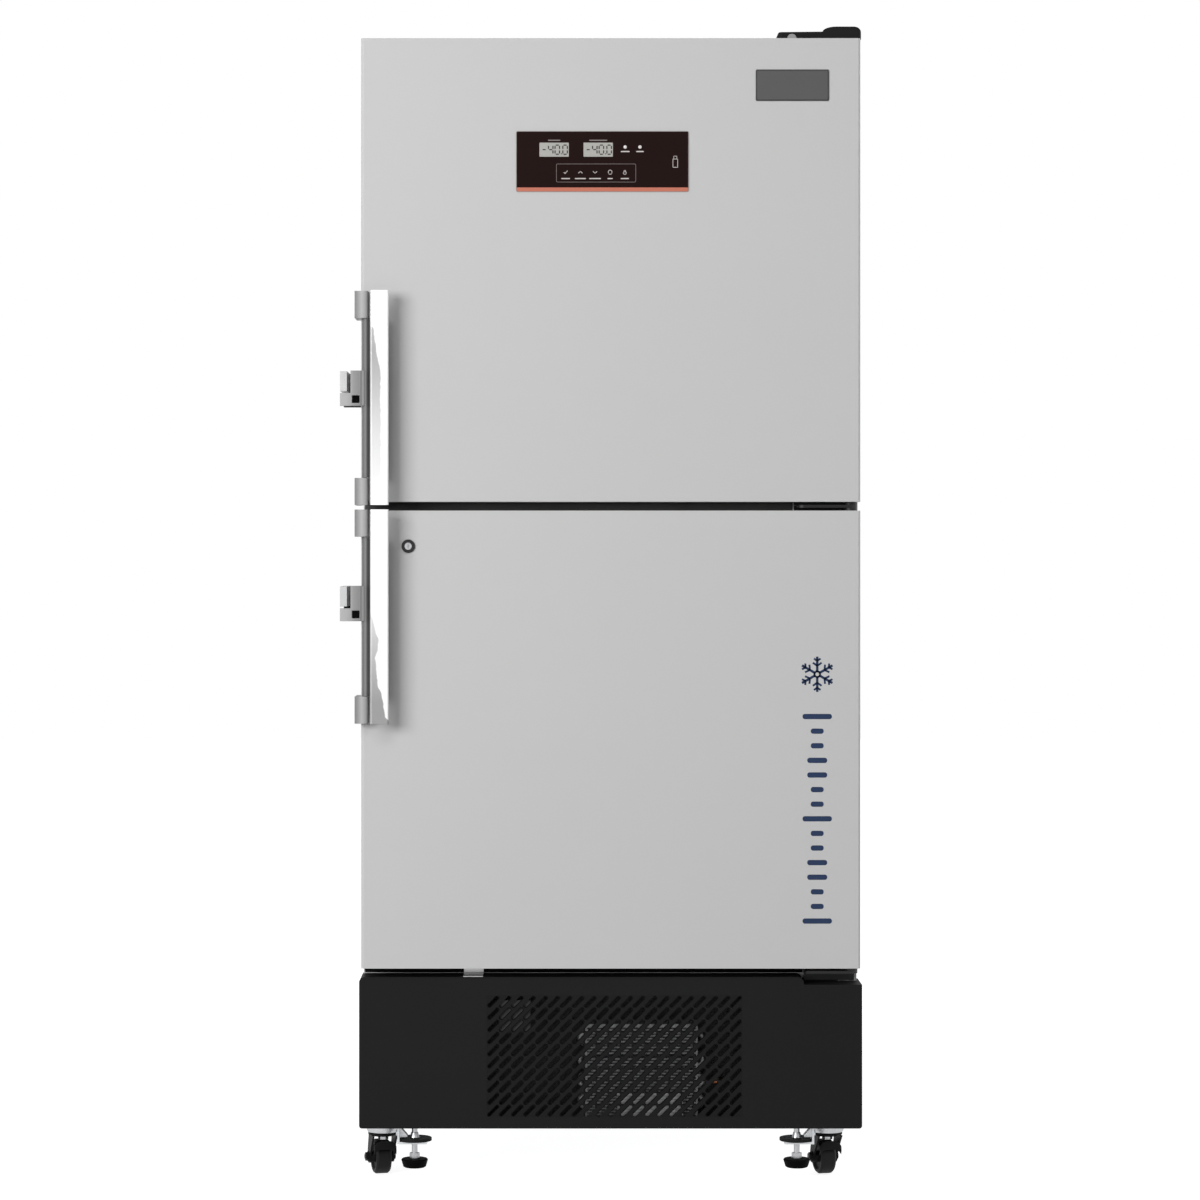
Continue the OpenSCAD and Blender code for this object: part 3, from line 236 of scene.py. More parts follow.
BADGE_RIM = finish_of("badge_rim", srgb(68, 68, 68), 0.4, vary=0.04, specular=0.2)
SCREW_STEEL = finish_of("screw_steel", srgb(170, 171, 173), 0.3, 1.0, vary=0.08, grain=300, patches=80)
DARK_METAL = finish_of("dark_metal", srgb(38, 38, 39), 0.35, 0.4, vary=0.1, grain=300, bump=0.05,
                       specular=0.3)
# Painted shade: the white front frame as it looks deep in the gap between the doors
MULLION_SHADE = finish_of("mullion_shade", srgb(78, 78, 78), 0.6, vary=0.08, grain=600, bump=0.08,
                         specular=0.15)
CHASSIS_GREY = finish_of("chassis_grey", srgb(54, 54, 55), 0.55, vary=0.1, grain=300, bump=0.06, specular=0.2)
COLLECTOR_GREY = finish_of("collector_grey", srgb(205, 205, 206), 0.45, 0.3, vary=0.08, grain=300, bump=0.05)
SHADE_BLACK = finish_of("shade_black", srgb(12, 12, 12), 0.8, vary=0.1, specular=0.05)


def curve(tree, value, stops):
    """A level that runs straight from stop to stop, each a place from 0 to 1 and its level."""
    ramp = tree.nodes.new("ShaderNodeValToRGB")
    elements = ramp.color_ramp.elements
    while len(elements) < len(stops):
        elements.new(0.5)
    for element, (place, level) in zip(elements, stops):
        element.position = place
    for element, (place, level) in zip(elements, stops):
        element.color = (level, level, level, 1)
    tree.links.new(value, ramp.inputs["Fac"])
    return ramp.outputs["Color"]


def grey(level):
    """The linear level of a grey of 0 to 255."""
    return srgb(level, level, level)[0]


def place_axes(tree):
    """The outputs X, Y and Z of a point's place on the object."""
    coord = tree.nodes.new("ShaderNodeTexCoord")
    split = tree.nodes.new("ShaderNodeSeparateXYZ")
    tree.links.new(coord.outputs["Object"], split.inputs[0])
    return split.outputs


def painted_shading_along_x(name, stops, rough, metal, specular=0.3):
    """A finish whose grey runs along X as painted light and shade, from stop to stop, each a place in mm and
    a grey of 0 to 255.
    """
    material, tree, base = grained(name, rough, metal, bump=0.12, specular=specular)
    split = place_axes(tree)
    start, end = stops[0][0], stops[-1][0]
    span = tree.nodes.new("ShaderNodeMapRange")
    span.inputs["From Min"].default_value = at(start, 0, 0).x
    span.inputs["From Max"].default_value = at(end, 0, 0).x
    tree.links.new(split["X"], span.inputs["Value"])
    places = [((x - start) / (end - start), grey(level)) for x, level in stops]
    tree.links.new(curve(tree, span.outputs["Result"], places), base)
    return material


# Round and cast metal of the handles, in painted shading along X: darker to the right where the doors shade
# it, darkest over the grip's shaded web, and lighter down the middle of the brackets and the rod in a painted
# highlight
BRACKET_PAINTED_SHADING = painted_shading_along_x("bracket_painted_shading", [(-434.5, 128), (-431, 136), (-427, 156), (-423, 175), (-419, 162),
                                       (-415, 140), (-412.5, 88)], 0.45, 0.2)
ARM_PAINTED_SHADING = painted_shading_along_x("arm_painted_shading", [(-460, 172), (-449, 166), (-441, 156), (-436, 142), (-424, 126), (-418, 104)],
                  0.45, 0.2)
ROD_PAINTED_SHADING = painted_shading_along_x("rod_painted_shading", [(-422, 112), (-419.5, 110), (-417.5, 140), (-415.5, 134), (-413.5, 84),
                               (-411.8, 38), (-406, 36)], 0.5, 0.1, 0.15)


# Mesh helpers
def add(name, mesh, body, material, smooth=35):
    """A new piece on a body, with its material and shading."""
    thing = bpy.data.objects.new(name, mesh)
    bpy.context.scene.collection.objects.link(thing)
    mesh.materials.clear()
    mesh.materials.append(material)
    shade(mesh, smooth)
    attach(thing, body)
    return thing


def shade(mesh, angle):
    """Smooth faces, with the edges over an angle kept sharp."""
    for polygon in mesh.polygons:
        polygon.use_smooth = True
    bm = bmesh.new()
    bm.from_mesh(mesh)
    limit = math.radians(angle)
    for edge in bm.edges:
        edge.smooth = not (edge.is_manifold and edge.calc_face_angle() > limit)
    bm.to_mesh(mesh)
    bm.free()


def finished_mesh(bm, name):
    bmesh.ops.recalc_face_normals(bm, faces=bm.faces)
    mesh = bpy.data.meshes.new(name)
    bm.to_mesh(mesh)
    bm.free()
    return mesh


CORNER_STEPS = 5
LATHE_STEPS = 20
DRESSED_SMOOTH = 30


def rounded_rect(w, h, r):
    """Outline of a rectangle with round corners about (0, 0), in mm."""
    points = []
    for cx, cy, start in ((1, 1, 0), (-1, 1, 90), (-1, -1, 180), (1, -1, 270)):
        for i in range(CORNER_STEPS + 1):
            a = math.radians(start + 90 * i / CORNER_STEPS)
            points.append((cx * (w / 2 - r) + r * math.cos(a), cy * (h / 2 - r) + r * math.sin(a)))
    return points


def disc(r, steps):
    turns = [2 * math.pi * i / steps for i in range(steps)]
    return [(r * math.cos(a), r * math.sin(a)) for a in turns]


def inset(outline, d):
    """A convex outline moved in by d, for a bevel."""
    n = len(outline)
    made = []
    for i in range(n):
        p = Vector(outline[i])
        a = p - Vector(outline[i - 1])
        b = Vector(outline[(i + 1) % n]) - p
        normal = (Vector((-a.y, a.x)).normalized() + Vector((-b.y, b.x)).normalized())
        normal.normalize()
        made.append(p + normal * d)
    return made


def front_plate(bm, outline, x, z, y_back, thick, bevel=0.0):
    """A flat piece that faces -Y: its outline in X and Z, its back at y_back, with a bevelled front rim."""
    rings = [(0.0, outline), (thick - bevel, outline)]
    if bevel:
        rings.append((thick, inset(outline, bevel)))
    loops = []
    for out, points in rings:
        loops.append([bm.verts.new(at(x + p[0], y_back - out, z + p[1])) for p in points])
    n = len(outline)
    for a, b in zip(loops, loops[1:]):
        for i in range(n):
            bm.faces.new((a[i], a[(i + 1) % n], b[(i + 1) % n], b[i]))
    bm.faces.new(loops[0])
    bm.faces.new(list(reversed(loops[-1])))


def front_frame(bm, w, h, line, x, z, y_back, thick, r):
    """A thin rectangular frame that faces -Y."""
    outer = rounded_rect(w, h, r)
    inner = rounded_rect(w - 2 * line, h - 2 * line, max(r - line, 0.3))
    n = len(outer)
    loops = []
    for out, points in ((0, outer), (thick, outer), (thick, inner), (0, inner)):
        loops.append([bm.verts.new(at(x + p[0], y_back - out, z + p[1])) for p in points])
    for k in range(4):
        a, b = loops[k], loops[(k + 1) % 4]
        for i in range(n):
            bm.faces.new((a[i], a[(i + 1) % n], b[(i + 1) % n], b[i]))


def bar(p, q, width):
    """Outline of a straight stroke between two points."""
    p, q = Vector(p), Vector(q)
    d = (q - p).normalized()
    side = Vector((-d.y, d.x)) * width / 2
    return [tuple(p - side), tuple(q - side), tuple(q + side), tuple(p + side)]


def lathe(bm, profile, centre, axis):
    """Revolves (radius, height) pairs in mm about an axis through a point in metres."""
    axis = Vector(axis).normalized()
    u = axis.orthogonal().normalized()
    v = axis.cross(u)
    rings = []
    for r, h in profile:
        if r <= 0:
            rings.append([bm.verts.new(centre + axis * h * MM)])
            continue
        rings.append([bm.verts.new(centre + axis * h * MM + (u * math.cos(a) + v * math.sin(a)) * r * MM)
                      for a in (2 * math.pi * i / LATHE_STEPS for i in range(LATHE_STEPS))])
    for a, b in zip(rings, rings[1:]):
        for i in range(LATHE_STEPS):
            j = (i + 1) % LATHE_STEPS
            corners = [a[i % len(a)], a[j % len(a)], b[j % len(b)], b[i % len(b)]]
            corners = [c for k, c in enumerate(corners) if c not in corners[:k]]
            if len(corners) > 2:
                bm.faces.new(corners)


def dress(node, material, bevel, segments=2, angle=28, zone=None):
    """A copy of a CAD node with its edges rounded, which stands for the node.

    A zone is a second material and a test of a face's middle and normal that says where it lies.
    """
    source = frame["nodes"][node]
    bm = bmesh.new()
    bm.from_mesh(source.data)
    bmesh.ops.remove_doubles(bm, verts=bm.verts, dist=1e-6)
    bmesh.ops.dissolve_limit(bm, angle_limit=math.radians(0.6), verts=bm.verts, edges=bm.edges)
    limit = math.radians(angle)
    sharp = [e for e in bm.edges if e.is_manifold and e.calc_face_angle() > limit]
    bmesh.ops.bevel(bm, geom=sharp, offset=bevel * MM, segments=segments, profile=0.5, affect="EDGES",
                    clamp_overlap=True)
    mesh = finished_mesh(bm, node + "_finish")
    thing = add(node + "_finish", mesh, source["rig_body"], material, DRESSED_SMOOTH)
    if zone:
        mesh.materials.append(zone[0])
        origin = at(0, 0, 0)
        for polygon in mesh.polygons:
            if zone[1]((polygon.center - origin) / MM, polygon.normal):
                polygon.material_index = 1
    weighted = thing.modifiers.new("weighted", "WEIGHTED_NORMAL")
    weighted.keep_sharp = True
    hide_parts(node)
    return thing


def paint(material, *nodes):
    """Gives carried-over CAD nodes their finish."""
    for node in nodes:
        mesh = frame["nodes"][node].data
        mesh.materials.clear()
        mesh.materials.append(material)


# Nodes that keep their own shape
def paint_nodes():
    paint(WHITE_PLASTIC, "upper_liner", "lower_liner")
    paint(FOAM, "cabinet_insulation", "upper_door_foam", "lower_door_foam")
    paint(STAINLESS, "upper_shelves", "lower_shelves")
    paint(COPPER, "evaporator_tubes", "refrigerant_pipes")
    paint(GALVANISED, "base_tray", "electrical_box", "rear_vent_cover")
    paint(SIDE_PAINT, "base_side_panels", "front_frame")
    paint(GRILLE_PLASTIC, "vent_grille")
    darken_slot_walls()
    paint(ALUMINIUM, "condenser")
    paint(BLACK_PAINT, "fan_shroud")
    paint(BLACK_PLASTIC, "fan_blade")
    paint(ENAMEL, "compressor")
    paint(SCREW_STEEL, "lock_plug")


def darken_slot_walls():
    grille = frame["nodes"]["vent_grille"].data
    grille.materials.append(SHADE_BLACK)
    for polygon in grille.polygons:
        polygon.material_index = 0 if abs(polygon.normal.y) > 0.9 else 1


# Dressed nodes
def grip_parts(node):
    """The corners of a grip, and the left edge and the back of its plate."""
    lo, hi = local_box(node)
    points = [(v.co - at(0, 0, 0)) / MM for v in frame["nodes"][node].data.vertices]
    plate_left = min(p.x for p in points if p.y < lo.y + 1)
    plate_back = max(p.y for p in points if p.x > hi.x - 3)
    return lo, hi, plate_left, plate_back


def number(tree, operation, a, b):
    """A Math node on sockets or plain numbers."""
    node = tree.nodes.new("ShaderNodeMath")
    node.operation = operation
    for socket, value in zip(node.inputs, (a, b)):
        if isinstance(value, (int, float)):
            socket.default_value = value
        else:
            tree.links.new(value, socket)
    return node.outputs[0]


def smooth_step(tree, value, start, end, low=0.0, high=1.0):
    node = tree.nodes.new("ShaderNodeMapRange")
    node.interpolation_type = "SMOOTHSTEP"
    node.inputs["From Min"].default_value = start
    node.inputs["From Max"].default_value = end
    node.inputs["To Min"].default_value = low
    node.inputs["To Max"].default_value = high
    tree.links.new(value, node.inputs["Value"])
    return node.outputs["Result"]


# The painted reflection on each grip's plate, a greyer patch from its foot (0) to its top (1): the reach
# across it, and its grey
PAINTED_REFLECTIONS = {
    "upper": ([(0.08, 0), (0.15, 0.6), (0.62, 0.57), (0.654, 0.5), (0.7, 0.39), (0.748, 0.29), (0.825, 0.2),
               (0.832, 0)],
              [(0.1, 240), (0.2, 231), (0.35, 218), (0.49, 199), (0.6, 184), (0.72, 172), (0.83, 184)]),
    "lower": ([(0.012, 1.1), (0.03, 0.85), (0.1, 0.7), (0.145, 0.62), (0.17, 0.46), (0.2, 0.41), (0.31, 0.28),
               (0.345, 0.44), (0.39, 0.46), (0.52, 0.02), (0.53, 0)],
              [(0, 153), (0.1, 154), (0.2, 168), (0.31, 184), (0.39, 197), (0.52, 219)]),
}


GRIP_BRIGHT = srgb(250, 250, 250)
# Painted shade on the rounded left edge of each grip's plate
GRIP_EDGE_SHADE = srgb(178, 178, 178)
PATCH_WAVER = 0.03
PATCH_FADE = (-0.02, 0.06)
EDGE_WIDE = 0.1
EDGE_SHARE = 0.7


def plate_metal(name, x0, x1, z0, z1, reach_stops, grey_stops):
    """Polished plate: bright, with a painted reflection as a greyer patch along its left side, and painted
    shade on its rounded left edge.
    """
    material, tree, base = grained(name, 0.34, 0.25, grain=160, stretch=(14, 14, 1), bump=0.03, specular=0.2)
    split = place_axes(tree)
    across = number(tree, "DIVIDE", number(tree, "SUBTRACT", split["X"], x0), x1 - x0)
    up = number(tree, "DIVIDE", number(tree, "SUBTRACT", split["Z"], z0), z1 - z0)
    waver = spread(tree, noise(tree, 60, stretch=(1, 1, 1.5)), -PATCH_WAVER, PATCH_WAVER)
    reach = number(tree, "ADD", curve(tree, up, reach_stops), waver)
    patch = smooth_step(tree, number(tree, "SUBTRACT", reach, across), *PATCH_FADE)
    tones = curve(tree, up, [(place, grey(level)) for place, level in grey_stops])
    # Painted reflection: the greyer patch over the bright plate
    reflected = mixed(tree, GRIP_BRIGHT, tones, patch)
    # Painted shade along the plate's left edge
    edge = smooth_step(tree, across, EDGE_WIDE, 0.0, 0, EDGE_SHARE)
    tree.links.new(mixed(tree, reflected, GRIP_EDGE_SHADE, edge), base)
    return material


# Where the zones of a node meet, in mm
KEEPER_WEB_FRONT = 8.1
KEEPER_OUT = 4
NUT_DISC_HIGH = 5.5
AXLE_NUT_WIDE = 5
FOOT_PAD_HIGH = 16.5
PLATE_SLACK = 0.2


def dress_grip(door):
    """The handle's grip: the rod and the shaded web in grey metal with painted shading along X, and the plate
    in front polished.
    """
    node = door + "_handle_grip"
    lo, hi, left, back = grip_parts(node)
    corner, far = at(left, 0, lo.z), at(hi.x, 0, hi.z)
    plate = plate_metal(door + "_plate_metal", corner.x, far.x, corner.z, far.z, *PAINTED_REFLECTIONS[door])
    dress(node, ROD_PAINTED_SHADING, 0.8, angle=50, zone=(plate, lambda p, n: p.y < back + PLATE_SLACK))


def dress_doors():
    for door in DOORS:
        dress(door + "_door_skin", WHITE_PAINT, 0.3, angle=60)
        dress(door + "_door_caps", WHITE_PLASTIC, 0.3, angle=60)
        dress(door + "_door_liner", WHITE_PLASTIC, 0.6)
        dress(door + "_door_gasket", RUBBER, 3.5, segments=3)
        dress(door + "_handle_brackets", BRACKET_PAINTED_SHADING, 2.2, segments=3, angle=50)
        dress_grip(door)
        dress(door + "_latch_arm", ARM_PAINTED_SHADING, 1.2, segments=3, angle=50)


def is_keeper_shade(p, n):
    """The front of a keeper's web, in the shade of the latch arm."""
    return p.x < SHELL_LEFT - KEEPER_OUT and n.y < -0.9 and abs(p.y - KEEPER_WEB_FRONT) < 1


def dress_casters():
    dress("caster_plates", GALVANISED, 0.5, angle=50)
    dress("foot_brackets", GALVANISED, 0.5, angle=50)
    disc_top = local_box("foot_lock_nuts")[0].z + NUT_DISC_HIGH
    dress("foot_lock_nuts", BLACK_PLASTIC, 0.8, angle=50,
          zone=(SCREW_STEEL, lambda p, n: p.z > disc_top))
    for place in CASTER_PLACES:
        nut_x = local_box("caster_fork_" + place)[0].x + AXLE_NUT_WIDE
        dress("caster_fork_" + place, FORK_BLACK, 0.6, angle=50,
              zone=(DARK_METAL, lambda p, n, edge=nut_x: p.x < edge))
        dress("caster_wheel_" + place, WHEEL_BLACK, 0.6, angle=40)
    for side in ("left", "right"):
        node = "levelling_foot_" + side
        pad_top = local_box(node)[0].z + FOOT_PAD_HIGH
        dress(node, FOOT_BLACK, 0.6, angle=50,
              zone=(SCREW_STEEL, lambda p, n, top=pad_top: p.z > top))


def dress_nodes():
    dress("outer_shell", SIDE_PAINT, 0.45)
    dress("back_panel", GALVANISED, 0.3)
    dress_doors()
    dress("latch_keepers", CAST_GREY, 1.2, segments=3, angle=50,
          zone=(SHADE_BLACK, is_keeper_shade))
    dress("base_front_panel", BLACK_PLASTIC, 1.4, segments=3, angle=50)
    dress("top_hinge_cover", BLACK_PLASTIC, 1.0, angle=50)
    dress("top_hinge", STAINLESS, 0.5, angle=50)
    dress("middle_hinge", BLACK_PAINT, 0.7, angle=50)
    dress("bottom_hinge", BLACK_PAINT, 0.7, angle=50)
    dress("front_panel_clip", STAINLESS, 0.4, angle=50)
    dress("lock_barrel", DARK_METAL, 0.7, angle=50)
    dress_casters()


# Control panel
FILM_RISE = 3.5
FILM_THICK = 0.9
PANEL_LO, PANEL_HI = local_box("control_overlay")
PANEL_HI.z += FILM_RISE
PANEL_X = (PANEL_LO.x + PANEL_HI.x) / 2
PANEL_Z = (PANEL_LO.z + PANEL_HI.z) / 2
PANEL_W = PANEL_HI.x - PANEL_LO.x
PANEL_H = PANEL_HI.z - PANEL_LO.z
PANEL_R = 3
PANEL_FACE = DOOR_FRONT - FILM_THICK
FILM_BEVEL = 0.25
PRINT = 0.12
BORDER_W = 1.0
BORDER_OUT = 0.6
BORDER_THICK = 0.45
STRIP_H = 7.0
STRIP_UP = 0.7
STRIP_IN = 0.8
STRIP_R = 1.5
STROKE_TRIM = 0.62

# The strokes of a seven-segment digit, from corner to corner of its box
SEGMENTS = {
    "a": ((0, 1), (1, 1)), "b": ((1, 1), (1, 0.5)), "c": ((1, 0.5), (1, 0)), "d": ((0, 0), (1, 0)),
    "e": ((0, 0.5), (0, 0)), "f": ((0, 1), (0, 0.5)), "g": ((0, 0.5), (1, 0.5)),
}
SHAPES = {"4": "bcfg", "0": "abcdef", "-": "g"}


def prints(name, strokes, material, y_back=PANEL_FACE, thick=PRINT, body="upper_door"):
    """Flat printed marks: a list of outlines, each with its place on the door."""
    bm = bmesh.new()
    for outline, x, z in strokes:
        front_plate(bm, outline, x, z, y_back, thick)
    return add(name, finished_mesh(bm, name), body, material)


def digit(shape, x, z, w, h, line):
    """The strokes of one seven-segment digit of a display."""
    made = []
    for key in SHAPES[shape]:
        (ax, ay), (bx, by) = SEGMENTS[key]
        p = Vector(((ax - 0.5) * w, (ay - 0.5) * h))
        q = Vector(((bx - 0.5) * w, (by - 0.5) * h))
        d = (q - p).normalized() * line * STROKE_TRIM
        made.append((bar(p + d, q - d, line), x, z))
    return made


def make_control_panel():
    bm = bmesh.new()
    outline = rounded_rect(PANEL_W, PANEL_H, PANEL_R)
    front_plate(bm, outline, PANEL_X, PANEL_Z, DOOR_FRONT, FILM_THICK, FILM_BEVEL)
    panel = add("control_panel_film", finished_mesh(bm, "film"), "upper_door", OVERLAY)
    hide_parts("control_overlay")

    bm = bmesh.new()
    front_frame(bm, PANEL_W, PANEL_H, BORDER_W, PANEL_X, PANEL_Z, DOOR_FRONT - BORDER_OUT, BORDER_THICK,
                PANEL_R)
    add("control_panel_border", finished_mesh(bm, "border"), "upper_door", OVERLAY_EDGE)

    strip = rounded_rect(PANEL_W - 2 * STRIP_IN, STRIP_H, STRIP_R)
    strip_z = PANEL_LO.z + STRIP_H / 2 + STRIP_UP
    prints("control_panel_strip", [(strip, PANEL_X, strip_z)], ORANGE_PRINT)
    make_displays()
    make_keys()


# The two displays and the two lamps
LCD_Z = 1764.5
LCD_XS = (-96.4, -21.4)
LCD_SIZE = (50.0, 24.0)
LCD_R = 1.2
GLASS_THICK = 0.5
GLASS_BEVEL = 0.2
DIGIT_THICK = 0.05
DIGIT_W = 7.6
DIGIT_H = 15.5
DIGIT_LINE = 2.0
DIGIT_STEP = 11.2
FIRST_DIGIT = -17
LAST_DIGIT_SHIFT = 2
POINT_X = 12.6
POINT_UP = 0.6
POINT_R = 1.0
READING = "-400"
LABEL_H = 2
LABEL_R = 0.9
LCD_LABELS = (21, 31)
LCD_LABEL_UP = 4
LED_XS = (24.6, 49.7)
LED_Z = 1769.0
LED_LABELS = (15, 13)
LED_LABEL_DOWN = 7.6
LED_DOME = [(3.0, 0), (3.0, 0.5), (2.7, 0.9), (1.9, 1.4), (1.0, 1.7), (0, 1.8)]


def make_displays():
    bm = bmesh.new()
    for x in LCD_XS:
        front_plate(bm, rounded_rect(*LCD_SIZE, LCD_R), x, LCD_Z, PANEL_FACE, GLASS_THICK, GLASS_BEVEL)
    glass = add("display_glass", finished_mesh(bm, "glass"), "upper_door", LCD_GREY)
    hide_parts("lcd_windows")

    strokes = []
    for x in LCD_XS:
        for i, shape in enumerate(READING):
            last = i == len(READING) - 1
            place = x + FIRST_DIGIT + i * DIGIT_STEP + (LAST_DIGIT_SHIFT if last else 0)
            strokes += digit(shape, place, LCD_Z, DIGIT_W, DIGIT_H, DIGIT_LINE)
        strokes.append((disc(POINT_R, 10), x + POINT_X, LCD_Z - DIGIT_H / 2 + POINT_UP))
    prints("display_digits", strokes, LCD_INK, PANEL_FACE - GLASS_THICK, DIGIT_THICK)

    label_z = LCD_Z + LCD_SIZE[1] / 2 + LCD_LABEL_UP
    labels = [(rounded_rect(w, LABEL_H, LABEL_R), x, label_z) for x, w in zip(LCD_XS, LCD_LABELS)]
    prints("display_labels", labels, DIM_PRINT)
    label_z = LED_Z - LED_LABEL_DOWN
    labels = [(rounded_rect(w, LABEL_H, LABEL_R), x, label_z) for x, w in zip(LED_XS, LED_LABELS)]
    prints("lamp_labels", labels, PALE_PRINT)

    bm = bmesh.new()
    for x in LED_XS:
        lathe(bm, LED_DOME, at(x, PANEL_FACE, LED_Z), (0, -1, 0))
    add("indicator_lamps", finished_mesh(bm, "lamps"), "upper_door", LED_BODY)


# The row of touch keys, each with its mark above a short bar, in a thin frame
KEY_Z = 1726.0
KEY_XS = (-76.9, -51.7, -26.7, -1.1, 23.9)
KEY_LABELS = (15, 19, 20, 9, 14)
KEY_LABEL_DOWN = 10.6
KEY_LABEL_H = 1.9
KEY_FRAME = (-92.9, 42.9, 1709.1, 1740.6)
KEY_FRAME_LINE = 0.7
KEY_FRAME_R = 2.5
KEY_LINE = 1.1
RING_STEPS = 18
RING_OVERLAP = 0.06
DRIVE_X = 109.8
DRIVE_Z = 1743.5


def ring(r, line, x, z, start=0, turn=360):
    """Strokes along part of a circle, each a little over the next."""
    made = []
    count = round(RING_STEPS * turn / 360)
    for i in range(count):
        a, b = (math.radians(start + turn * k / count) for k in (i, i + 1 + RING_OVERLAP))
        made.append((bar((r * math.cos(a), r * math.sin(a)), (r * math.cos(b), r * math.sin(b)), line), x, z))
    return made


def tick(x, z):
    return [(bar((-3, 0.2), (-0.8, -2.4), KEY_LINE), x, z), (bar((-1.1, -2.4), (3.4, 3), KEY_LINE), x, z)]


def arrow(x, z, way):
    """A chevron that points up (1) or down (-1)."""
    left = bar((-3.4, -1.6 * way), (0.35, 2.1 * way), KEY_LINE)
    right = bar((3.4, -1.6 * way), (-0.35, 2.1 * way), KEY_LINE)
    return [(left, x, z), (right, x, z)]


def lamp_sign(x, z):
    """An open ring on a short foot."""
    return ring(3.2, 1.0, x, z + 0.6, -50, 280) + [(bar((-2.2, -3.2), (2.2, -3.2), 1.0), x, z)]


def lock_sign(x, z):
    """A ring with a bow above it."""
    return ring(2.4, 1.0, x, z - 1.2) + ring(1.7, 0.9, x, z + 1.6, 0, 180)


def drive_sign(x, z):
    """A stick drive in outline: its body, its plug and the plug's end."""
    made = [(bar((-4, -9), (4, -9), 0.9), x, z), (bar((-4, 5), (4, 5), 0.9), x, z)]
    made += [(bar((side * 4, -9.4), (side * 4, 5.4), 0.9), x, z) for side in (-1, 1)]
    made += [(bar((side * 2.6, 5), (side * 2.6, 10), 0.8), x, z) for side in (-1, 1)]
    made.append((bar((-3, 10), (3, 10), 0.8), x, z))
    return made


def make_keys():
    x0, x1, z0, z1 = KEY_FRAME
    bm = bmesh.new()
    middle_x, middle_z = (x0 + x1) / 2, (z0 + z1) / 2
    front_frame(bm, x1 - x0, z1 - z0, KEY_FRAME_LINE, middle_x, middle_z, PANEL_FACE, PRINT, KEY_FRAME_R)
    add("key_frame", finished_mesh(bm, "keys"), "upper_door", DIM_PRINT)

    set_x, up_x, down_x, lamp_x, lock_x = KEY_XS
    marks = tick(set_x, KEY_Z)
    marks += arrow(up_x, KEY_Z, 1)
    marks += arrow(down_x, KEY_Z, -1)
    marks += lamp_sign(lamp_x, KEY_Z)
    marks += lock_sign(lock_x, KEY_Z)
    for x, w in zip(KEY_XS, KEY_LABELS):
        marks.append((rounded_rect(w, KEY_LABEL_H, LABEL_R), x, KEY_Z - KEY_LABEL_DOWN))
    prints("key_marks", marks, PALE_PRINT)
    prints("drive_mark", drive_sign(DRIVE_X, DRIVE_Z), PALE_PRINT)


# Bare plate at the top right
PLATE_THICK = 1.6
PLATE_R = 2.5
PLATE_BEVEL = 0.4
PLATE_MARGIN = 2.5
PLATE_FACE_R = 1.6
PLATE_FACE_THICK = 0.3
PLATE_FACE_BEVEL = 0.15


def make_badge():
    lo, hi = local_box("badge_plate")
    x, z = (lo.x + hi.x) / 2, (lo.z + hi.z) / 2
    w, h = hi.x - lo.x, hi.z - lo.z
    bm = bmesh.new()
    front_plate(bm, rounded_rect(w, h, PLATE_R), x, z, DOOR_FRONT, PLATE_THICK, PLATE_BEVEL)
    rim = add("bare_plate_rim", finished_mesh(bm, "rim"), "upper_door", BADGE_RIM)
    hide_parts("badge_plate")
    bm = bmesh.new()
    inner = rounded_rect(w - 2 * PLATE_MARGIN, h - 2 * PLATE_MARGIN, PLATE_FACE_R)
    front_plate(bm, inner, x, z, DOOR_FRONT - PLATE_THICK, PLATE_FACE_THICK, PLATE_FACE_BEVEL)
    add("bare_plate_face", finished_mesh(bm, "face"), "upper_door", BADGE_FACE)


# Navy marking on the lower door: a frost star above a graduated column
MARK_X = 351.3
STAR_Z = 872
STAR_R = 30
STAR_LINE = 4.2
STAR_GAP = 3
STAR_RING = 5
BRANCH_LINE = 3.4
BRANCH_TURN = 55
BRANCH_PLACES = (0.48, 0.76)
BRANCH_LONG = 13
BRANCH_TAPER = 8
COLUMN_TOP = 800
COLUMN_LOW = 452
COLUMN_ROWS = 15
LONG_EVERY = 7
MIDDLE_ROWS = (3, 4)
LONG_BAR, MIDDLE_BAR, SHORT_BAR = 50, 34, 22
BAR_H = 9
BAR_R = 4


def direction(degrees):
    angle = math.radians(degrees)
    return Vector((math.cos(angle), math.sin(angle)))


def star():
    """Six arms with two pairs of branches each, about a small ring."""
    made = []
    for i in range(6):
        arm = direction(90 + 60 * i)
        made.append((bar(arm * STAR_GAP, arm * STAR_R, STAR_LINE), MARK_X, STAR_Z))
        for t in BRANCH_PLACES:
            for turn in (-BRANCH_TURN, BRANCH_TURN):
                branch = direction(90 + 60 * i + turn) * (BRANCH_LONG - BRANCH_TAPER * t)
                foot = arm * STAR_R * t
                made.append((bar(foot, foot + branch, BRANCH_LINE), MARK_X, STAR_Z))
    return made + ring(STAR_RING, BRANCH_LINE, MARK_X, STAR_Z)


def column():
    """A graduated column of bars: every seventh is long, and the two midway between are middling."""
    made = []
    for i in range(COLUMN_ROWS):
        z = COLUMN_LOW + (COLUMN_TOP - COLUMN_LOW) * i / (COLUMN_ROWS - 1)
        row = i % LONG_EVERY
        w = LONG_BAR if row == 0 else (MIDDLE_BAR if row in MIDDLE_ROWS else SHORT_BAR)
        made.append((rounded_rect(w, BAR_H, BAR_R), MARK_X, z))
    return made


def make_marking():
    prints("door_marking", star() + column(), NAVY_PRINT, DOOR_FRONT, 0.1, "lower_door")


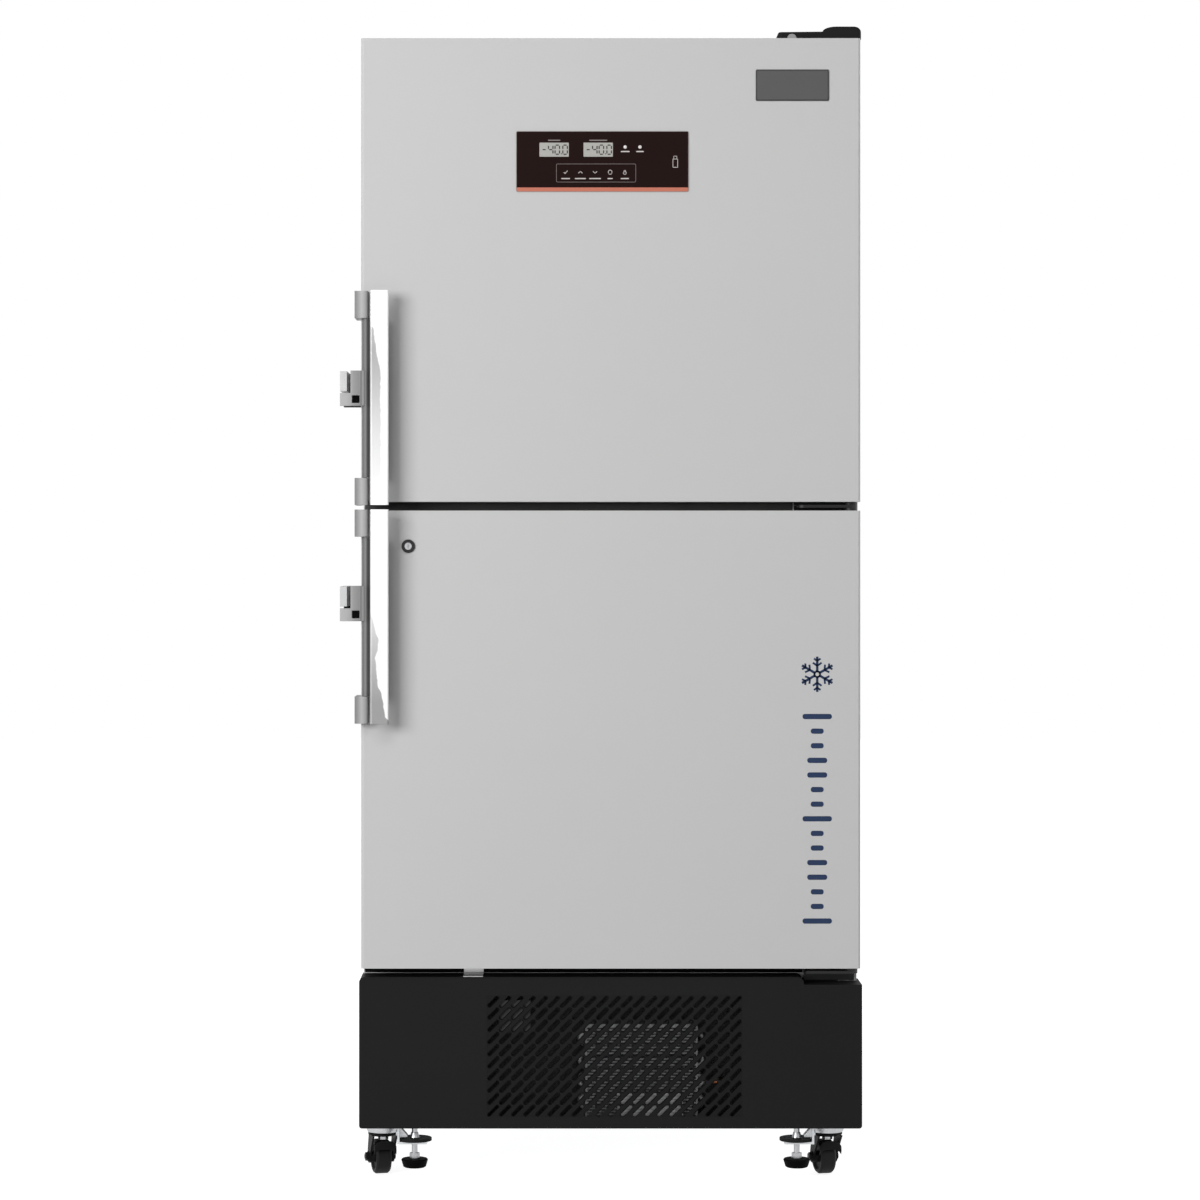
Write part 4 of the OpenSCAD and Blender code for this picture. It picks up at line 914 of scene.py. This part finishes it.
# Fasteners
SCREW_R = 4
SCREW_H = 1.8
SCREW_SINK = 1.7
BRACKET_SCREW_DEEP = 28
BRACKET_SCREWS_IN = (12, 34)
TAB_R = 8
TAB_IN = 24
TAB_THICK = 2
TAB_BEVEL = 0.6
TAB_STEPS = 14
REAR_SCREWS_IN = 14
PANEL_SCREWS_IN = 12
PANEL_SCREW_X = 140
REAR_SCREWS_UP = 5


def pan_screw(bm, centre, axis):
    """A round head with a small recess, in mm about a point in metres."""
    r, h = SCREW_R, SCREW_H
    profile = [(r, 0), (r, h * 0.35), (r * 0.85, h * 0.75), (r * 0.5, h), (r * 0.34, h), (r * 0.3, h * 0.55),
               (0, h * 0.5)]
    lathe(bm, profile, centre, axis)


def make_bracket_screws():
    """Two screws in the outer side of each handle bracket."""
    for door in DOORS:
        lo, hi = local_box(door + "_handle_brackets")
        near, far = BRACKET_SCREWS_IN
        bm = bmesh.new()
        for z in (lo.z + near, lo.z + far, hi.z - far, hi.z - near):
            pan_screw(bm, at(lo.x, DOOR_FRONT + BRACKET_SCREW_DEEP, z), (-1, 0, 0))
        add("bracket_screws_" + door, finished_mesh(bm, "screws"), door + "_door", SCREW_STEEL)


def make_cover_tab():
    """The half disc that shows under the top hinge's cover."""
    lo = local_box("top_hinge_cover")[0]
    turns = [math.pi * i / TAB_STEPS for i in range(TAB_STEPS + 1)]
    half_disc = [(TAB_R * math.cos(a), TAB_R * math.sin(a)) for a in turns]
    bm = bmesh.new()
    front_plate(bm, half_disc, lo.x + TAB_IN, lo.z, lo.y, TAB_THICK, TAB_BEVEL)
    add("hinge_cover_tab", finished_mesh(bm, "tab"), "root", TAB_GREY)


def make_rear_screws():
    """Flush screws of the rear cover and round the back panel."""
    lo, hi = local_box("rear_vent_cover")
    ends = (lo.z + REAR_SCREWS_IN, hi.z - REAR_SCREWS_IN)
    places = [(x, hi.y, z) for x in (lo.x + REAR_SCREWS_IN, 0, hi.x - REAR_SCREWS_IN) for z in ends]
    lo, hi = local_box("back_panel")
    left, right = lo.x + PANEL_SCREWS_IN, hi.x - PANEL_SCREWS_IN
    ends = (lo.z + REAR_SCREWS_IN, hi.z - REAR_SCREWS_IN)
    places += [(x, hi.y, z) for x in (left, -PANEL_SCREW_X, PANEL_SCREW_X, right) for z in ends]
    steps = [lo.z + (hi.z - lo.z) * i / REAR_SCREWS_UP for i in range(1, REAR_SCREWS_UP)]
    places += [(x, hi.y, z) for x in (left, right) for z in steps]
    bm = bmesh.new()
    for x, y, z in places:
        pan_screw(bm, at(x, y - SCREW_SINK, z), (0, 1, 0))
    add("rear_screws", finished_mesh(bm, "rear"), "root", SCREW_STEEL)


def make_screws():
    make_bracket_screws()
    make_cover_tab()
    make_rear_screws()


# Trim: strips of painted shade on the front frame, and guards on the casters' forks
STRIP_GAP = 2
FRAME_STRIP_R = 2
MULLION_H = 36
MULLION_THICK = 0.25
SILL_RISE = 1
SILL_BEHIND_DOOR = 13
SILL_THICK = 0.15
GUARD_TURN = math.radians(15)
GUARD_HALF = 19.6
GUARD_TOP = 61
GUARD_SLOPE = 9
GUARD_STEPS = 6
# The bend of a guard: depth ahead of the swivel axis, and height below the guard's top
GUARD_SECTION = [(-18, 0), (-19.5, 7), (-17.5, 15), (-16, 14.6), (-18, 7), (-16.5, 0)]


def box_at(bm, low, high):
    """A plain box between two corners in the cabinet's mm."""
    lo, hi = at(*low), at(*high)
    size = Matrix.Diagonal((*(hi - lo), 1))
    bmesh.ops.create_cube(bm, size=1, matrix=Matrix.Translation((lo + hi) / 2) @ size)


def frame_strip(name, hinge, low, high, thick, material):
    """A strip of painted shade on the cabinet's front frame, from its left side to a hinge's plate."""
    left, right = SHELL_LEFT + STRIP_GAP, local_box(hinge)[0].x - STRIP_GAP
    bm = bmesh.new()
    outline = rounded_rect(right - left, high - low, FRAME_STRIP_R)
    front_plate(bm, outline, (left + right) / 2, (low + high) / 2, 0, thick)
    add(name, finished_mesh(bm, "strip"), "root", material)


def make_frame_strips():
    """Strips of painted shade on the front frame: between the doors, and below the lower one."""
    middle = (UPPER_LO.z + LOWER_HI.z) / 2
    low, high = middle - MULLION_H / 2, middle + MULLION_H / 2
    frame_strip("mullion_shade_strip", "middle_hinge", low, high, MULLION_THICK, MULLION_SHADE)
    low, high = local_box("base_front_panel")[1].z + SILL_RISE, LOWER_LO.z + SILL_BEHIND_DOOR
    frame_strip("sill_shade_strip", "bottom_hinge", low, high, SILL_THICK, SHADE_BLACK)


def swivel_axis(place):
    """X and Y of a caster's swivel axis in the cabinet's mm, from the joint that turns it."""
    for joint in frame["joints"]:
        if joint["name"] == "swivel_" + place:
            return (joint["pos_m"][0] - MID_X) / MM, (joint["pos_m"][1] - FACE_Y) / MM
    raise KeyError(place)


def make_fork_guards():
    """A bent guard between the legs of each caster's fork, round at its top, in front of the wheel."""
    cos_turn, sin_turn = math.cos(GUARD_TURN), math.sin(GUARD_TURN)
    for place in CASTER_PLACES:
        axis_x, axis_y = swivel_axis(place)
        bm = bmesh.new()
        rings = []
        for step in range(-GUARD_STEPS, GUARD_STEPS + 1):
            side = step / GUARD_STEPS
            top = GUARD_TOP - GUARD_SLOPE * side ** 4
            x = side * GUARD_HALF
            rings.append([bm.verts.new(at(axis_x + x * cos_turn - y * sin_turn,
                                          axis_y + x * sin_turn + y * cos_turn, top - down))
                          for y, down in GUARD_SECTION])
        for first, second in zip(rings, rings[1:]):
            for i in range(len(first)):
                j = (i + 1) % len(first)
                bm.faces.new((first[i], first[j], second[j], second[i]))
        bm.faces.new(rings[0])
        bm.faces.new(list(reversed(rings[-1])))
        add("fork_guard_" + place, finished_mesh(bm, "guard"), "fork_" + place, FORK_BLACK)


# Painted shade round the grille's slots
RIM_W = 1.3
RIM_RISE = 0.12
MITRE_LEAST = 0.5
MERGE = 0.02 * MM
ON_FACE = 0.05 * MM


def slot_edges(bm, low, high):
    """The front edges of a grille's slots, and the slot walls' normals at each vertex of them."""
    edges, normals = [], {}
    for edge in bm.edges:
        if any(abs(v.co.y - low.y) > ON_FACE for v in edge.verts):
            continue
        margins = [min(v.co.x - low.x, high.x - v.co.x, v.co.z - low.z, high.z - v.co.z) for v in edge.verts]
        if min(margins) < MM:
            continue
        walls = [face for face in edge.link_faces if abs(face.normal.y) < 0.1]
        if len(walls) != 1:
            continue
        edges.append(edge)
        for v in edge.verts:
            normals.setdefault(v.index, []).append(walls[0].normal)
    return edges, normals


def make_slot_shade():
    """A thin dark sheet round every slot of the grille: painted shade that makes each slot look wider."""
    grille = frame["nodes"]["vent_grille"]
    solid = bmesh.new()
    solid.from_mesh(grille.data)
    solid.transform(grille.matrix_world)
    bmesh.ops.remove_doubles(solid, verts=solid.verts, dist=MERGE)
    solid.normal_update()
    edges, normals = slot_edges(solid, *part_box("vent_grille"))
    bm = bmesh.new()
    for edge in edges:
        inner = [v.co - Vector((0, RIM_RISE * MM, 0)) for v in edge.verts]
        outer = []
        for v, point in zip(edge.verts, inner):
            first, last = normals[v.index][0], normals[v.index][-1]
            mean = (first + last).normalized()
            outer.append(point - mean * RIM_W * MM / max(mean.dot(first), MITRE_LEAST))
        bm.faces.new([bm.verts.new(p) for p in (inner[0], inner[1], outer[1], outer[0])])
    solid.free()
    bmesh.ops.remove_doubles(bm, verts=bm.verts, dist=MERGE)
    bmesh.ops.recalc_face_normals(bm, faces=bm.faces)
    for face in bm.faces:
        if face.normal.y > 0:
            face.normal_flip()
    add("slot_shade", finished_mesh(bm, "rims"), "root", SHADE_BLACK)


# Seen through the slots: a switch box behind the grille, and the condenser's finned collector
SWITCH_X = (-189, -137)
SWITCH_Z = (258, 314)
SWITCH_DEEP = (1, 14)
FIN_X = (12, 124)
FIN_LOW = 109
FIN_THICK = 4
FIN_STEP = 5.6
FINS = 8
FIN_AHEAD = (14, 0.5)
CORE_X = (16, 120)
CORE_Z = (108, 154)
CORE_AHEAD = (10, 0.6)


def make_chassis_parts():
    back = local_box("vent_grille")[1].y
    bm = bmesh.new()
    near, deep = (back + gap for gap in SWITCH_DEEP)
    box_at(bm, (SWITCH_X[0], near, SWITCH_Z[0]), (SWITCH_X[1], deep, SWITCH_Z[1]))
    add("switch_box", finished_mesh(bm, "switch"), "root", CHASSIS_GREY)
    front = local_box("condenser")[0].y
    bm = bmesh.new()
    for i in range(FINS):
        z = FIN_LOW + i * FIN_STEP
        box_at(bm, (FIN_X[0], front - FIN_AHEAD[0], z), (FIN_X[1], front - FIN_AHEAD[1], z + FIN_THICK))
    near, deep = (front - gap for gap in CORE_AHEAD)
    box_at(bm, (CORE_X[0], near, CORE_Z[0]), (CORE_X[1], deep, CORE_Z[1]))
    add("collector_fins", finished_mesh(bm, "collector"), "root", COLLECTOR_GREY)


# Studio
FLOOR_HALF = 14
FLOOR_GREY = 0.45
FLOOR_ROUGH = 0.9
GLOW_NEAR = 0.85
GLOW_FAR = 1.0
GLOW_FROM = 0.7
GLOW_TO = 2.4
WORLD_LEVEL = 0.16


def seen_directly(tree):
    """1 for a ray from the camera or from a mirror, 0 for the light that reaches a surface."""
    path = tree.nodes.new("ShaderNodeLightPath")
    return number(tree, "MAXIMUM", path.outputs["Is Camera Ray"], path.outputs["Is Glossy Ray"])


def floor_material(name, base, near, far):
    """A pale matt surface that the camera and mirrors see brighter, and fully white away from the object."""
    material, shader = principled(name)
    tree = material.node_tree
    shader.inputs["Base Color"].default_value = (base, base, base, 1)
    shader.inputs["Roughness"].default_value = FLOOR_ROUGH
    coord = tree.nodes.new("ShaderNodeTexCoord")
    length = tree.nodes.new("ShaderNodeVectorMath")
    length.operation = "LENGTH"
    tree.links.new(coord.outputs["Object"], length.inputs[0])
    glow = smooth_step(tree, length.outputs["Value"], GLOW_FROM, GLOW_TO, near, far)
    shader.inputs["Emission Color"].default_value = (1, 1, 1, 1)
    tree.links.new(number(tree, "MULTIPLY", seen_directly(tree), glow), shader.inputs["Emission Strength"])
    return material


def make_floor():
    bm = bmesh.new()
    corners = [(-1, -1), (1, -1), (1, 1), (-1, 1)]
    bm.faces.new([bm.verts.new((x * FLOOR_HALF, y * FLOOR_HALF, 0)) for x, y in corners])
    mesh = bpy.data.meshes.new("floor")
    bm.to_mesh(mesh)
    bm.free()
    floor = bpy.data.objects.new("floor", mesh)
    bpy.context.scene.collection.objects.link(floor)
    mesh.materials.append(floor_material("floor", FLOOR_GREY, GLOW_NEAR, GLOW_FAR))


def make_world():
    """A weak plain light all round, behind a backdrop that the camera sees white."""
    world = bpy.data.worlds.new("world")
    bpy.context.scene.world = world
    world.use_nodes = True
    tree = world.node_tree
    plain = tree.nodes["Background"]
    plain.inputs["Color"].default_value = (1, 1, 1, 1)
    plain.inputs["Strength"].default_value = WORLD_LEVEL
    seen = tree.nodes.new("ShaderNodeBackground")
    seen.inputs["Color"].default_value = (1, 1, 1, 1)
    seen.inputs["Strength"].default_value = 1.0
    mix = tree.nodes.new("ShaderNodeMixShader")
    tree.links.new(seen_directly(tree), mix.inputs["Fac"])
    tree.links.new(plain.outputs[0], mix.inputs[1])
    tree.links.new(seen.outputs[0], mix.inputs[2])
    tree.links.new(mix.outputs[0], tree.nodes["World Output"].inputs["Surface"])


def area_light(name, place, target, size, power):
    """A rectangular lamp that faces a point, in metres and watts."""
    data = bpy.data.lights.new(name, "AREA")
    data.shape = "RECTANGLE"
    data.size, data.size_y = size
    data.energy = power
    light = bpy.data.objects.new(name, data)
    light.location = place
    light.rotation_euler = (Vector(target) - Vector(place)).to_track_quat("-Z", "Y").to_euler()
    bpy.context.scene.collection.objects.link(light)


def make_lights():
    target = (0, FACE_Y, 1.1)
    area_light("left_key", (-3.5, FACE_Y - 4.8, 2.1), target, (3.0, 2.0), 235)
    area_light("front_high", (-1.2, FACE_Y - 4.6, 4.2), target, (2.0, 1.6), 54)
    area_light("right_soft", (3.6, FACE_Y - 2.4, 2.6), target, (2.0, 2.6), 20)
    area_light("right_side", (4.2, FACE_Y + 1.0, 1.8), (0, FACE_Y + 0.4, 1.0), (2.0, 2.6), 48)


bpy.context.scene.view_settings.view_transform = "Standard"
make_camera()
make_floor()
make_world()
make_lights()
paint_nodes()
dress_nodes()
make_control_panel()
make_badge()
make_marking()
make_screws()
make_frame_strips()
make_fork_guards()
make_slot_shade()
make_chassis_parts()
